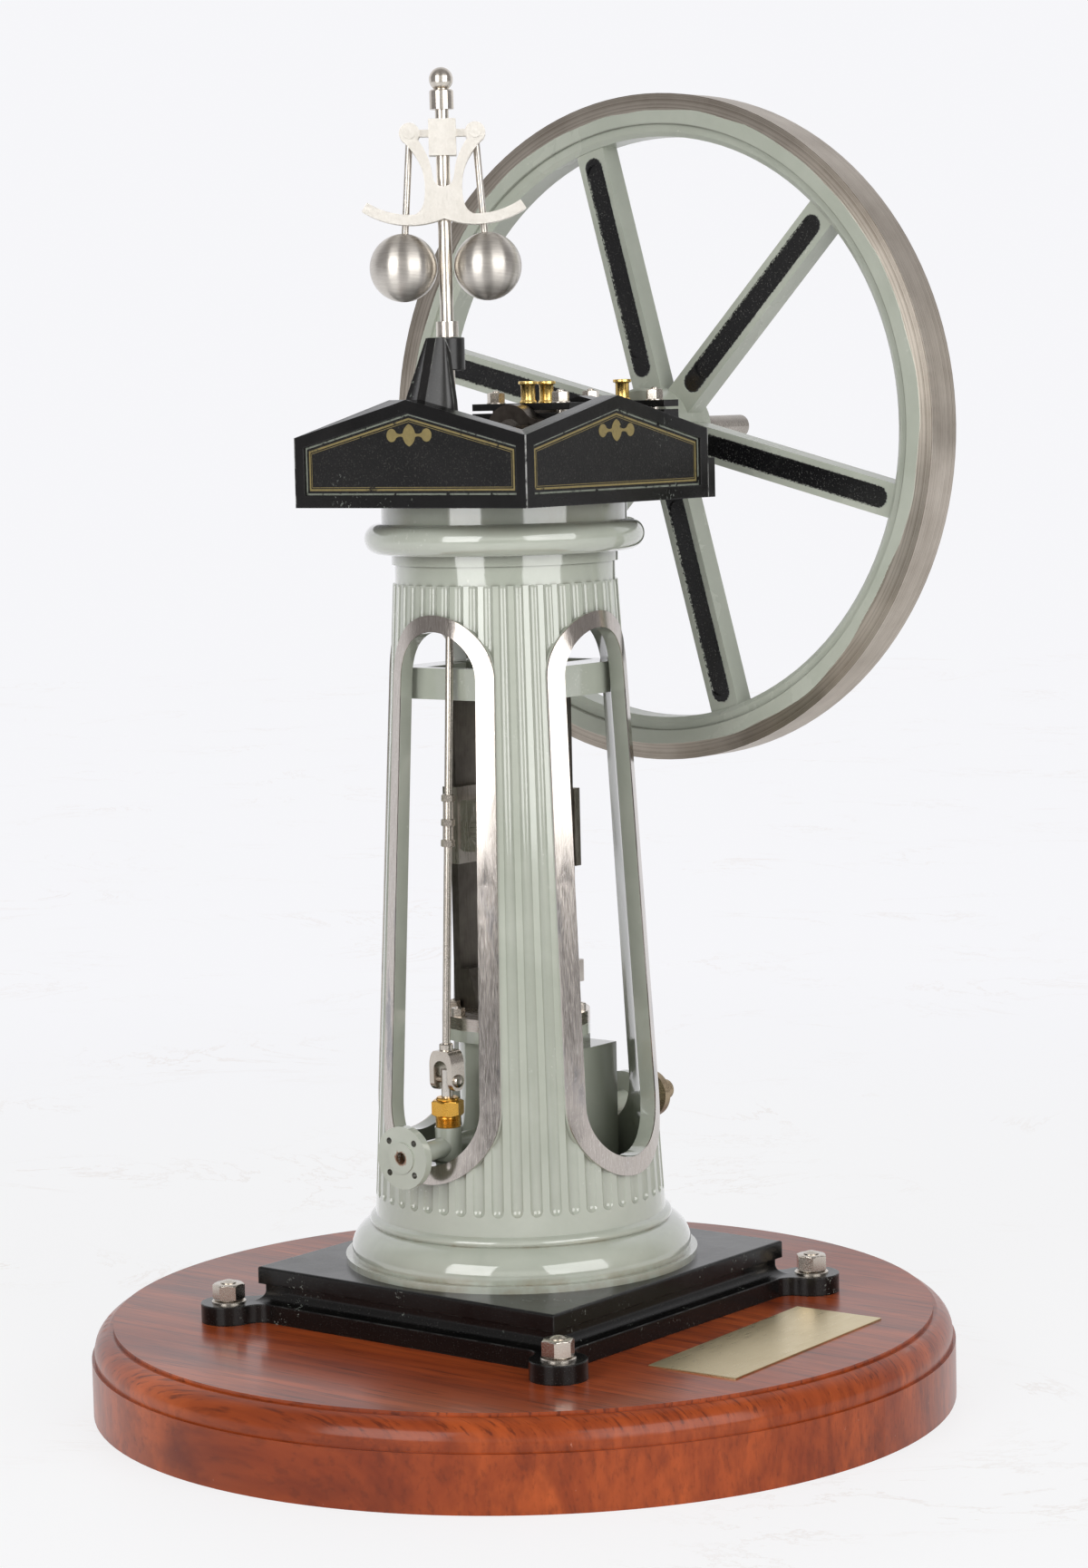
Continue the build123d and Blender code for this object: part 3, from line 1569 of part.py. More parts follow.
def ball_arm(hand):
    """Hanging rod with an eye on the pivot pin and a ball at its foot."""
    foot = (hand * ball_reach, pivot_z - ball_drop)
    rod_end = math.hypot(ball_reach - pivot_reach, ball_drop) - ball_radius / 2
    with BuildPart() as arm:
        disc(head_plane(-arm_eye_half), (hand * pivot_reach, pivot_z), arm_eye_radius, 2 * arm_eye_half)
        pivot_point = head_plane(0).from_local_coords((hand * pivot_reach, pivot_z, 0))
        ball_point = head_plane(0).from_local_coords((foot[0], foot[1], 0))
        rod_plane = Plane(origin=pivot_point, z_dir=ball_point - pivot_point)
        disc(rod_plane, (0, 0), arm_rod_radius, rod_end)
        with BuildSketch(Plane(origin=ball_point, x_dir=head_x, z_dir=head_out)):
            with BuildLine():
                Line((0, -ball_radius), (0, ball_radius))
                RadiusArc((0, ball_radius), (0, -ball_radius), ball_radius)
            make_face()
        revolve(axis=Axis(ball_point, (0, 0, 1)))
        disc(
            head_plane(-arm_eye_half),
            (hand * pivot_reach, pivot_z),
            pivot_pin_radius + running_fit,
            2 * arm_eye_half,
            Mode.SUBTRACT,
        )
    return arm


ball_arm_left = ball_arm(-1)
ball_arm_right = ball_arm(1)

pieces = {
    "plinth": plinth,
    "base_plate": base_plate,
    "holding_bolts": holding_bolts,
    "column": column,
    "deck": deck,
    "gable_right": gable_right,
    "gable_rear": gable_rear,
    "gable_left": gable_left,
    "gable_front": gable_front,
    "rear_bracket": rear_bracket,
    "pedestal_inner": pedestal_inner,
    "pedestal_outer": pedestal_outer,
    "cap_inner": cap_inner,
    "cap_outer": cap_outer,
    "main_brasses": main_brasses,
    "cap_studs": cap_studs,
    "oil_cups": oil_cups,
    "crankshaft": crankshaft,
    "crank_web": crank_web,
    "return_crank": return_crank,
    "governor_shaft": governor_shaft,
    "governor_gear": governor_gear,
    "flywheel": flywheel,
    "eccentric_sheave": eccentric_sheave,
    "eccentric_strap": eccentric_strap,
    "strap_cup": strap_cup,
    "connecting_rod": connecting_rod,
    "big_end_brass": big_end_brass,
    "crankpin": crankpin,
    "crosshead": crosshead,
    "gudgeon_pin": gudgeon_pin,
    "slippers": slippers,
    "piston_rod": piston_rod,
    "guide_bars": guide_bars,
    "guide_feet": guide_feet,
    "guide_ring": guide_ring,
    "cylinder": cylinder,
    "cylinder_cover": cylinder_cover,
    "cover_studs": cover_studs,
    "piston_gland": piston_gland,
    "steam_chest": steam_chest,
    "chest_cover_plate": chest_cover_plate,
    "valve_gland": valve_gland,
    "valve_spindle": valve_spindle,
    "exhaust_pipe": exhaust_pipe,
    "exhaust_joint_ring": exhaust_joint_ring,
    "throttle_body": throttle_body,
    "throttle_gland": throttle_gland,
    "throttle_spindle": throttle_spindle,
    "governor_link": governor_link,
    "clevis_pin": clevis_pin,
    "governor_stand": governor_stand,
    "governor_pinion": governor_pinion,
    "governor_spindle": governor_spindle,
    "governor_frame": governor_frame,
    "finial": finial,
    "ball_arm_left": ball_arm_left,
    "ball_arm_right": ball_arm_right,
}
for name, piece in pieces.items():
    piece.part.label = name
    export_step(piece.part, "parts/" + name + ".step")
    print(name, len(piece.part.solids()), round(piece.part.volume))
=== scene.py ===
import math

import bmesh
import bpy
import numpy as np
from mathutils import Matrix, Vector


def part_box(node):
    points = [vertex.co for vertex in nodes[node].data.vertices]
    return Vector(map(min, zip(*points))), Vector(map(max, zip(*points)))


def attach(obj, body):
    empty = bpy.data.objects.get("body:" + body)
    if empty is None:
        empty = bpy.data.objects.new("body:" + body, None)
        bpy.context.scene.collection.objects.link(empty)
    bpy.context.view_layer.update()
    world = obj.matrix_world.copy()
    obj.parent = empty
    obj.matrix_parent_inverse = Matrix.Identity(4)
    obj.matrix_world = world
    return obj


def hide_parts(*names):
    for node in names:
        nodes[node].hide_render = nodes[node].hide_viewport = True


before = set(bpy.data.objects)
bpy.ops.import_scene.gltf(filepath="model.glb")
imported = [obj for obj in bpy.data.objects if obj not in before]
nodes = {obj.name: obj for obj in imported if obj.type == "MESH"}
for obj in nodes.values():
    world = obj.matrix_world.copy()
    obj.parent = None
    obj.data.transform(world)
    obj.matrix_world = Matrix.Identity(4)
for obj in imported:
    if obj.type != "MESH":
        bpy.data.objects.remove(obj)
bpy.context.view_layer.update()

scene = bpy.context.scene
scene.view_settings.view_transform = "Standard"
print("stage: frame loaded")

# Camera, fitted to the photograph's corners: place, heading, tilt and roll
cameraFit = {
    "azimuth": math.radians(38.89),
    "distance": 1.1172,
    "height": 0.29473,
    "pitch": math.radians(5.84),
    "yaw": math.radians(-0.5),
    "roll": math.radians(-1.35),
    "lens": 88.51,
}


def standing(turn, distance, height=0.0):
    """Point at a distance from the middle line, turned from -Y towards +X."""
    return Vector((math.sin(turn) * distance, -math.cos(turn) * distance, height))


def makeCamera(fit):
    eye = standing(fit["azimuth"], fit["distance"], fit["height"])
    level = -standing(fit["azimuth"] + fit["yaw"], 1)
    forward = level * math.cos(fit["pitch"]) - Vector((0, 0, math.sin(fit["pitch"])))
    right = forward.cross(Vector((0, 0, 1))).normalized()
    up = right.cross(forward)
    rolledRight = right * math.cos(fit["roll"]) + up * math.sin(fit["roll"])
    rolledUp = up * math.cos(fit["roll"]) - right * math.sin(fit["roll"])
    data = bpy.data.cameras.new("camera")
    data.sensor_fit = "VERTICAL"
    data.sensor_height = 36.0
    data.lens = fit["lens"]
    camera = bpy.data.objects.new("camera", data)
    scene.collection.objects.link(camera)
    axes = Matrix((rolledRight, rolledUp, -forward)).transposed().to_4x4()
    camera.matrix_world = Matrix.Translation(eye) @ axes
    scene.camera = camera


makeCamera(cameraFit)
ahead = -standing(cameraFit["azimuth"], 1)
print("stage: camera")


# Shader helpers: most add a node, or a short chain, to the tree of their inputs and return its output
def setInputs(item, inputs):
    """Links a node's inputs to sockets and sets plain values; None leaves an input alone."""
    for key, value in inputs.items() if isinstance(inputs, dict) else enumerate(inputs):
        if isinstance(value, bpy.types.NodeSocket):
            item.id_data.links.new(value, item.inputs[key])
        elif value is not None:
            item.inputs[key].default_value = value


def addNode(tree, kind, inputs=(), **settings):
    item = tree.nodes.new(kind)
    for key, value in settings.items():
        setattr(item, key, value)
    setInputs(item, inputs)
    return item


def nodeFrom(kind, inputs, **settings):
    """Adds a node to the tree that its input sockets are in."""
    values = inputs.values() if isinstance(inputs, dict) else inputs
    tree = next(value.id_data for value in values if isinstance(value, bpy.types.NodeSocket))
    return addNode(tree, kind, inputs, **settings)


def mathOf(operation, *values, clamp=False):
    return nodeFrom("ShaderNodeMath", values, operation=operation, use_clamp=clamp).outputs[0]


def times(first, *others):
    for other in others:
        first = mathOf("MULTIPLY", first, other)
    return first


def plus(first, second):
    return mathOf("ADD", first, second)


def minus(first, second):
    return mathOf("SUBTRACT", first, second)


def apart(value, middle):
    return mathOf("ABSOLUTE", minus(value, middle))


def blendOf(first, second, share):
    return plus(times(first, share), times(second, 1 - share))


def vectorOf(operation, *values):
    item = nodeFrom("ShaderNodeVectorMath", values, operation=operation)
    return item.outputs["Value" if operation in ("LENGTH", "DOT_PRODUCT") else "Vector"]


def scaledOf(vector, factor):
    sockets = {0: vector, "Scale": factor}
    return nodeFrom("ShaderNodeVectorMath", sockets, operation="SCALE").outputs["Vector"]


def pointOf(x, y, z):
    return nodeFrom("ShaderNodeCombineXYZ", (x, y, z)).outputs[0]


def lengthOf(x, y, z):
    return vectorOf("LENGTH", pointOf(x, y, z))


def splitOf(vector):
    return nodeFrom("ShaderNodeSeparateXYZ", (vector,)).outputs


def noiseOf(vector, scale, detail, roughness, distortion=0.0, stretch=None):
    """Noise, drawn out along the axes whose stretch is small."""
    if stretch:
        vector = vectorOf("MULTIPLY", vector, stretch)
    sockets = {"Vector": vector, "Scale": scale, "Detail": detail, "Roughness": roughness}
    return nodeFrom("ShaderNodeTexNoise", {**sockets, "Distortion": distortion}).outputs["Fac"]


def rangeOf(value, low, high, toLow=0.0, toHigh=1.0, smooth=False):
    kind = "SMOOTHSTEP" if smooth else "LINEAR"
    sockets = {"Value": value, "From Min": low, "From Max": high, "To Min": toLow, "To Max": toHigh}
    return nodeFrom("ShaderNodeMapRange", sockets, interpolation_type=kind).outputs["Result"]


def spreadOf(noise, toLow=0.0, toHigh=1.0):
    """Spreads a noise, most of which lies between 0.3 and 0.7, over a range."""
    return rangeOf(noise, 0.3, 0.7, toLow, toHigh)


def colourOf(red, green, blue):
    """Colour from the eye's 0 to 255 scale."""
    def straight(value):
        value /= 255.0
        return value / 12.92 if value <= 0.04045 else ((value + 0.055) / 1.055) ** 2.4
    return (straight(red), straight(green), straight(blue), 1.0)


def mixOf(factor, first, second, blend="MIX"):
    """Mixes two colours. One of three values is on the eye's scale."""
    sockets = {0: factor, 6: first, 7: second}
    for key, value in sockets.items():
        if isinstance(value, tuple) and len(value) == 3:
            sockets[key] = colourOf(*value)
    return nodeFrom("ShaderNodeMix", sockets, data_type="RGBA", blend_type=blend).outputs[2]


def chooseOf(mask, off, on):
    return nodeFrom("ShaderNodeMix", {0: mask, 2: off, 3: on}).outputs[0]


def bumpOf(height, distance, strength=1.0, normal=None):
    sockets = {"Height": height, "Distance": distance, "Strength": strength, "Normal": normal}
    return nodeFrom("ShaderNodeBump", sockets).outputs["Normal"]


def softNormal(tree, radius):
    return addNode(tree, "ShaderNodeBevel", {"Radius": radius}, samples=4).outputs[0]


def normalOf(tree, kind):
    return addNode(tree, "ShaderNodeNewGeometry").outputs[kind]


def inWorld(vector, kind="VECTOR"):
    settings = {"vector_type": kind, "convert_from": "OBJECT", "convert_to": "WORLD"}
    return nodeFrom("ShaderNodeVectorTransform", (vector,), **settings).outputs[0]


def placeOf(tree):
    return addNode(tree, "ShaderNodeTexCoord").outputs["Object"]


def newGroup(name, inputs, outputs):
    """Node group. A socket whose default is a number carries floats, and the others carry vectors."""
    tree = bpy.data.node_groups.new(name, "ShaderNodeTree")
    for side, sockets in (("INPUT", inputs), ("OUTPUT", outputs)):
        for label, default in sockets.items():
            kind = "NodeSocketFloat" if isinstance(default, float) else "NodeSocketVector"
            socket = tree.interface.new_socket(label, in_out=side, socket_type=kind)
            if default is not None:
                socket.default_value = default
    return tree, tree.nodes.new("NodeGroupInput").outputs, tree.nodes.new("NodeGroupOutput")


def useGroup(group, inputs):
    return nodeFrom("ShaderNodeGroup", inputs, node_tree=group).outputs


# Turned metal: rings, as noise over the distance from an axis and the place along it
def buildTurned():
    inputs = {"Place": None, "Centre": (0, 0, 0), "Axis": (0, 0, 1), "Fineness": 3.0}
    group, given, made = newGroup("turned", inputs, {"Streak": 0.0, "Blotch": 0.0, "Along": None})
    local = vectorOf("SUBTRACT", given["Place"], given["Centre"])
    along = vectorOf("DOT_PRODUCT", local, given["Axis"])
    across = vectorOf("SUBTRACT", local, scaledOf(given["Axis"], along))
    rings = pointOf(vectorOf("LENGTH", across), along, 0.0)
    # a little of the angle is kept so that the rings start and stop
    angleShare = 0.0012
    slow = scaledOf(vectorOf("NORMALIZE", across), angleShare)
    fine = scaledOf(vectorOf("ADD", rings, slow), given["Fineness"])
    setInputs(made, {
        "Streak": noiseOf(fine, 1000.0, 4.0, 0.65),
        "Blotch": noiseOf(local, 90.0, 3.0, 0.55),
        "Along": vectorOf("CROSS_PRODUCT", given["Axis"], across),
    })
    return group


# Brushed metal: noise drawn out along one direction
def buildBrushed():
    inputs = {"Place": None, "Stretch": (1, 1, 0.03), "Fineness": 1.0}
    group, given, made = newGroup("brushed", inputs, {"Streak": 0.0, "Blotch": 0.0})
    drawn = vectorOf("MULTIPLY", given["Place"], given["Stretch"])
    setInputs(made, {
        "Streak": noiseOf(scaledOf(drawn, given["Fineness"]), 3200.0, 3.0, 0.6),
        "Blotch": noiseOf(given["Place"], 110.0, 4.0, 0.6),
    })
    return group


# Enamel: brush marks and orange peel for the bump, a soft stain, small chips and dust
def buildEnamel():
    outputs = {"Height": 0.0, "Stain": 0.0, "Chip": 0.0, "Dust": 0.0}
    group, given, made = newGroup("enamel", {"Place": None, "Chips": 0.5}, outputs)
    place = given["Place"]
    peel = noiseOf(place, 520.0, 2.0, 0.5)
    wave = noiseOf(place, 120.0, 2.0, 0.5)
    speck = rangeOf(noiseOf(place, 900.0, 2.0, 0.7), 0.62, 0.66)
    where = rangeOf(noiseOf(place, 60.0, 3.0, 0.6), 0.6, 0.66)
    setInputs(made, {
        "Height": plus(times(peel, 0.35), wave),
        "Stain": noiseOf(place, 38.0, 5.0, 0.6, 0.4),
        "Chip": mathOf("MULTIPLY", times(speck, where), given["Chips"], clamp=True),
        "Dust": rangeOf(noiseOf(place, 2600.0, 1.0, 0.5), 0.66, 0.74),
    })
    return group


turnedGroup = buildTurned()
brushedGroup = buildBrushed()
enamelGroup = buildEnamel()
greenShades = ((172, 177, 163), (186, 190, 177))
greenChip = (214, 216, 206)
blackShades = ((12, 12, 12), (24, 23, 23))
blackChip = (150, 156, 148)


def newMaterial(name):
    material = bpy.data.materials.new(name)
    material.use_nodes = True
    return material, placeOf(material.node_tree)


def shaded(material, inputs):
    setInputs(material.node_tree.nodes["Principled BSDF"], inputs)
    return material


def enamelOn(place, chips, shades, chipColour):
    """Stained and chipped paint, and the enamel's other sockets."""
    enamel = useGroup(enamelGroup, {"Place": place, "Chips": chips})
    paint = mixOf(spreadOf(enamel["Stain"]), *shades)
    return mixOf(enamel["Chip"], paint, chipColour), enamel


# Shade and dirt gathered in hollows: both grow as less of the room is seen within a short reach
def hollowed(paint, depth, dirt, reach=0.012):
    seen = addNode(paint.id_data, "ShaderNodeAmbientOcclusion", {"Distance": reach}, samples=6).outputs["AO"]
    shade = times(rangeOf(seen, 0.35, 0.95, 1.0, 0.0), depth)
    paint = mixOf(shade, paint, (96, 96, 84), "MULTIPLY")
    return mixOf(times(rangeOf(seen, 0.5, 0.8, 1.0, 0.0), dirt), paint, (124, 104, 70))


def greenEnamel(name, chips=0.5):
    material, place = newMaterial(name)
    paint, enamel = enamelOn(place, chips, greenShades, greenChip)
    return shaded(material, {
        "Base Color": paint,
        "Roughness": spreadOf(enamel["Stain"], 0.07, 0.13),
        "Normal": bumpOf(enamel["Height"], 0.0001, 0.35),
        "Specular IOR Level": 0.6,
        "Coat Weight": 0.7,
        "Coat Roughness": 0.05,
    })


# Steam branch: green enamel with a rusty bore, and bolt holes whose walls are darkened as painted shade. The
# masks are distances from the bore's line and from the nearest of the four holes, on the flange alone.
def branchPaint(name, flange):
    material = greenEnamel(name, 0.6)
    paint = material.node_tree.nodes["Principled BSDF"].inputs["Base Color"].links[0].from_socket
    place = placeOf(material.node_tree)
    x, y, z = splitOf(place)
    z = minus(z, flange["height"])
    radius = lengthOf(x, 0.0, z)
    holeX, holeZ = (minus(mathOf("ABSOLUTE", level), flange["hole"]) for level in (x, z))
    front = mathOf("LESS_THAN", y, flange["front"])
    ragged = plus(radius, spreadOf(noiseOf(place, 900.0, 3.0, 0.6), -0.0004, 0.0004))
    rust = times(rangeOf(ragged, 0.0018, 0.0023, 0.9, 0.0), front)
    tone = mixOf(rangeOf(radius, 0.0012, 0.002), (34, 20, 14), (132, 82, 44))
    paint = mixOf(rust, paint, tone)
    # Painted shade: the bolt holes' walls are darkened for the shade inside them
    hole = rangeOf(lengthOf(holeX, 0.0, holeZ), 0.00088, 0.001, 0.85, 0.0)
    return shaded(material, {"Base Color": mixOf(times(hole, front), paint, (46, 40, 32))})


def frameSteel(place, z):
    """Brushed steel with slanting hairlines, and a painted dark reflection of the dim room low on the frames;
    returns its streaks too.
    """
    brushed = useGroup(brushedGroup, {"Place": place, "Stretch": (1, 1, 0.02), "Fineness": 1.3})
    steel = mixOf(spreadOf(brushed["Streak"]), (178, 170, 163), (204, 197, 190))
    slant = {"Vector": place, "Axis": (1, -1, 0), "Angle": 0.6}
    slanted = nodeFrom("ShaderNodeVectorRotate", slant).outputs[0]
    hair = rangeOf(noiseOf(slanted, 2400.0, 2.0, 0.6, stretch=(1, 1, 0.04)), 0.6, 0.68)
    # Painted reflection: a bluish grey patch, strongest between about 85 and 165 mm up and faint elsewhere,
    # stands for the dim room mirrored in the steel
    darkReflection = rangeOf(noiseOf(place, 150.0, 3.0, 0.6, stretch=(1, 1, 0.3)), 0.52, 0.66)
    rise = rangeOf(z, 0.085, 0.1, smooth=True)
    fall = rangeOf(z, 0.135, 0.165, 1.0, 0.0, smooth=True)
    darkReflection = times(darkReflection, mathOf("MAXIMUM", times(rise, fall), 0.12), 0.6)
    steel = mixOf(darkReflection, steel, (112, 116, 126))
    return mixOf(times(hair, 0.22), steel, (244, 240, 236)), brushed["Streak"]


# Column: green enamel, with the raised arch frames left as bare steel. The mask is how far a point stands
# out beyond the tapering shaft, whose radius falls in a straight line with height.
def columnPaint(name, frames):
    material, place = newMaterial(name)
    x, y, z = splitOf(place)
    paint, enamel = enamelOn(place, 0.5, greenShades, greenChip)
    grime = rangeOf(noiseOf(place, 70.0, 4.0, 0.65), 0.45, 0.62)
    grime = times(grime, rangeOf(z, 0.06, 0.07, 0.55, 0.16))
    paint = hollowed(paint, rangeOf(z, 0.06, 0.2, 0.25, 0.6), grime)
    shaft = rangeOf(z, frames["low"], frames["top"], frames["lowRadius"], frames["topRadius"])
    proud = rangeOf(minus(lengthOf(x, y, 0.0), shaft), 0.00028, 0.0004)
    above = mathOf("GREATER_THAN", z, frames["from"])
    below = mathOf("LESS_THAN", z, frames["to"])
    bare = times(proud, above, below)
    steel, streak = frameSteel(place, z)
    gloss = spreadOf(enamel["Stain"], 0.07, 0.13)
    height = chooseOf(bare, enamel["Height"], times(streak, 0.1))
    return shaded(material, {
        "Base Color": mixOf(bare, paint, steel),
        "Metallic": bare,
        "Roughness": chooseOf(bare, gloss, spreadOf(streak, 0.12, 0.19)),
        "Normal": bumpOf(height, 0.0001, 0.35),
        "Specular IOR Level": 0.6,
        "Coat Weight": mathOf("SUBTRACT", 0.9, bare, clamp=True),
        "Coat Roughness": 0.05,
    })


def fromSpoke(x, z, radius, wheel):
    """Distance from the middle line of the nearest spoke, or from that line's end."""
    pitch = math.radians(360 / wheel["spokes"])
    turn = minus(mathOf("ARCTAN2", z, x), math.radians(wheel["phase"]) - pitch / 2)
    turn = minus(mathOf("FLOORED_MODULO", turn, pitch), pitch / 2)
    along = times(radius, mathOf("COSINE", turn))
    across = times(radius, mathOf("SINE", turn))
    beyond = mathOf("MAXIMUM", minus(apart(along, wheel["middle"]), wheel["reach"]), 0.0)
    return lengthOf(beyond, across, 0.0)


# Flywheel: bare turned rim, green faces and black spoke pockets. The rim's mask is the distance from the
# shaft's line, and a pocket's is the distance from the middle line of its spoke.
def wheelPaint(name, wheel):
    material, place = newMaterial(name)
    x, y, z = splitOf(place)
    z = minus(z, wheel["height"])
    radius = lengthOf(x, 0.0, z)
    rough = noiseOf(place, 1400.0, 2.0, 0.5)
    slow = noiseOf(place, 22.0, 2.0, 0.5)
    paint, enamel = enamelOn(place, 0.6, greenShades, (206, 206, 194))
    line = rangeOf(apart(radius, wheel["step"]), 0.0001, 0.0004, 0.55, 0.0)
    paint = mixOf(times(line, rangeOf(slow, 0.35, 0.6)), paint, (78, 76, 66))
    away = plus(fromSpoke(x, z, radius, wheel), spreadOf(rough, -0.00022, 0.00022))
    pocket = rangeOf(away, wheel["half"] - 0.00008, wheel["half"] + 0.00008, 1.0, 0.0)
    paint = mixOf(pocket, paint, mixOf(enamel["Dust"], (20, 20, 21), (92, 92, 88)))
    edge = plus(wheel["bare"], spreadOf(slow, -0.0011, 0.0011))
    edge = plus(edge, spreadOf(rough, -0.0001, 0.0001))
    bare = rangeOf(minus(radius, edge), -0.00006, 0.00006)
    streak = noiseOf(pointOf(radius, y, 0.0), 2600.0, 4.0, 0.65)
    tone = blendOf(streak, noiseOf(place, 60.0, 4.0, 0.6), 0.72)
    steel = mixOf(rangeOf(tone, 0.34, 0.66), (142, 131, 118), (212, 203, 191))
    gloss = spreadOf(enamel["Stain"], 0.2, 0.3)
    height = chooseOf(bare, enamel["Height"], times(streak, 0.3))
    sunk = rangeOf(away, wheel["half"] - 0.00035, wheel["half"] + 0.00025)
    circling = inWorld(pointOf(z, 0.0, times(x, -1.0)))
    flat = normalOf(material.node_tree, "True Normal")
    return shaded(material, {
        "Base Color": mixOf(bare, paint, steel),
        "Metallic": bare,
        "Roughness": chooseOf(bare, gloss, spreadOf(streak, 0.24, 0.4)),
        "Normal": bumpOf(height, 0.00012, 0.5, bumpOf(sunk, 0.0007, 0.8)),
        "Anisotropic": times(bare, 0.85),
        "Tangent": vectorOf("CROSS_PRODUCT", flat, circling),
    })


def blackEnamel(name, chips=0.5, roughness=0.2, shades=blackShades, soften=0.0004, edgeWearAndHighlight=0.12, shine=0.5):
    """Black enamel, pale where the rounded edge's normal leaves the face's own: partly paint worn off the
    edges, partly a painted highlight along them.
    """
    material, place = newMaterial(name)
    paint, enamel = enamelOn(place, chips, shades, blackChip)
    dusty = mixOf(times(enamel["Dust"], 0.3), paint, (96, 94, 90))
    soft = softNormal(material.node_tree, soften)
    same = vectorOf("DOT_PRODUCT", soft, normalOf(material.node_tree, "Normal"))
    # Pale edges: paint worn off, and a painted highlight where an edge would catch the light
    patches = rangeOf(noiseOf(place, 160.0, 3.0, 0.6), 0.44, 0.56, 0.0, edgeWearAndHighlight)
    worn = times(rangeOf(same, 0.985, 0.93), patches)
    return shaded(material, {
        "Base Color": mixOf(worn, dusty, (150, 152, 146)),
        "Roughness": spreadOf(enamel["Stain"], roughness, roughness + 0.12),
        "Normal": bumpOf(enamel["Height"], 0.0001, 0.5, soft),
        "Specular IOR Level": shine,
    })


# Gabled plates: glossy black, a grainy sunk panel with pale flecks painted in as glints, and paint worn off
# the upright corners. The panel is where the larger of the two level distances from the middle equals the
# panel's own.
def gablePaint(name, plate):
    material, place = newMaterial(name)
    x, y = (mathOf("ABSOLUTE", level) for level in splitOf(place)[:2])
    paint, enamel = enamelOn(place, 0.5, blackShades, blackChip)
    outer, inner = mathOf("MAXIMUM", x, y), mathOf("MINIMUM", x, y)
    level = mathOf("LESS_THAN", apart(outer, plate["panel"]), 0.0002)
    panel = times(level, mathOf("LESS_THAN", inner, plate["panel"] - 0.002))
    # Painted glints: faint pale flecks on the panel stand for the speckled highlights of its grain
    paintedGlint = rangeOf(noiseOf(place, 2300.0, 1.0, 0.5), 0.6, 0.7)
    paint = mixOf(times(panel, paintedGlint, 0.25), paint, (96, 94, 88))
    corner = rangeOf(inner, plate["corner"] - 0.0004, plate["corner"] - 0.0001)
    corner = times(corner, rangeOf(noiseOf(place, 300.0, 3.0, 0.6), 0.38, 0.5))
    height = chooseOf(panel, enamel["Height"], noiseOf(place, 1700.0, 2.0, 0.6))
    return shaded(material, {
        "Base Color": mixOf(corner, paint, (190, 190, 186)),
        "Roughness": chooseOf(panel, spreadOf(enamel["Stain"], 0.18, 0.28), 0.34),
        "Normal": bumpOf(height, 0.00012, 0.6, softNormal(material.node_tree, 0.0005)),
        "Specular IOR Level": 0.34,
    })


def turnedMetal(name, centre, axis, dark, light, fineness=3.0, roughness=0.26, uneven=1.0, exact=False):
    """Metal turned about an axis. Exact ones take a round side's normal from the axis, not the facets."""
    material, place = newMaterial(name)
    inputs = {"Place": place, "Centre": centre, "Axis": axis, "Fineness": fineness}
    turned = useGroup(turnedGroup, inputs)
    streak, flat = turned["Streak"], normalOf(material.node_tree, "True Normal")
    tone = rangeOf(blendOf(streak, turned["Blotch"], 0.5), 0.25, 0.75)
    if exact:
        outward = vectorOf("NORMALIZE", vectorOf("CROSS_PRODUCT", turned["Along"], axis))
        outward = inWorld(outward, "NORMAL")
        side = mathOf("GREATER_THAN", vectorOf("DOT_PRODUCT", outward, flat), 0.97)
        sockets = {0: side, 4: normalOf(material.node_tree, "Normal"), 5: outward}
        normal = nodeFrom("ShaderNodeMix", sockets, data_type="VECTOR").outputs[1]
    else:
        normal = bumpOf(streak, 0.00003, 0.25 * uneven)
    return shaded(material, {
        "Base Color": mixOf(tone, dark, light),
        "Metallic": 1.0,
        "Roughness": spreadOf(streak, roughness - 0.06 * uneven, roughness + 0.1 * uneven),
        "Normal": normal,
        "Anisotropic": 0.9,
        "Tangent": vectorOf("CROSS_PRODUCT", flat, inWorld(turned["Along"])),
    })


def brushedMetal(name, stretch, dark, light, fineness=1.0, roughness=0.28, metallic=1.0):
    material, place = newMaterial(name)
    brushed = useGroup(brushedGroup, {"Place": place, "Stretch": stretch, "Fineness": fineness})
    tone = rangeOf(blendOf(brushed["Streak"], brushed["Blotch"], 0.4), 0.28, 0.72)
    return shaded(material, {
        "Base Color": mixOf(tone, dark, light),
        "Metallic": metallic,
        "Roughness": spreadOf(brushed["Streak"], roughness - 0.05, roughness + 0.12),
        "Normal": bumpOf(brushed["Streak"], 0.00003, 0.25),
    })


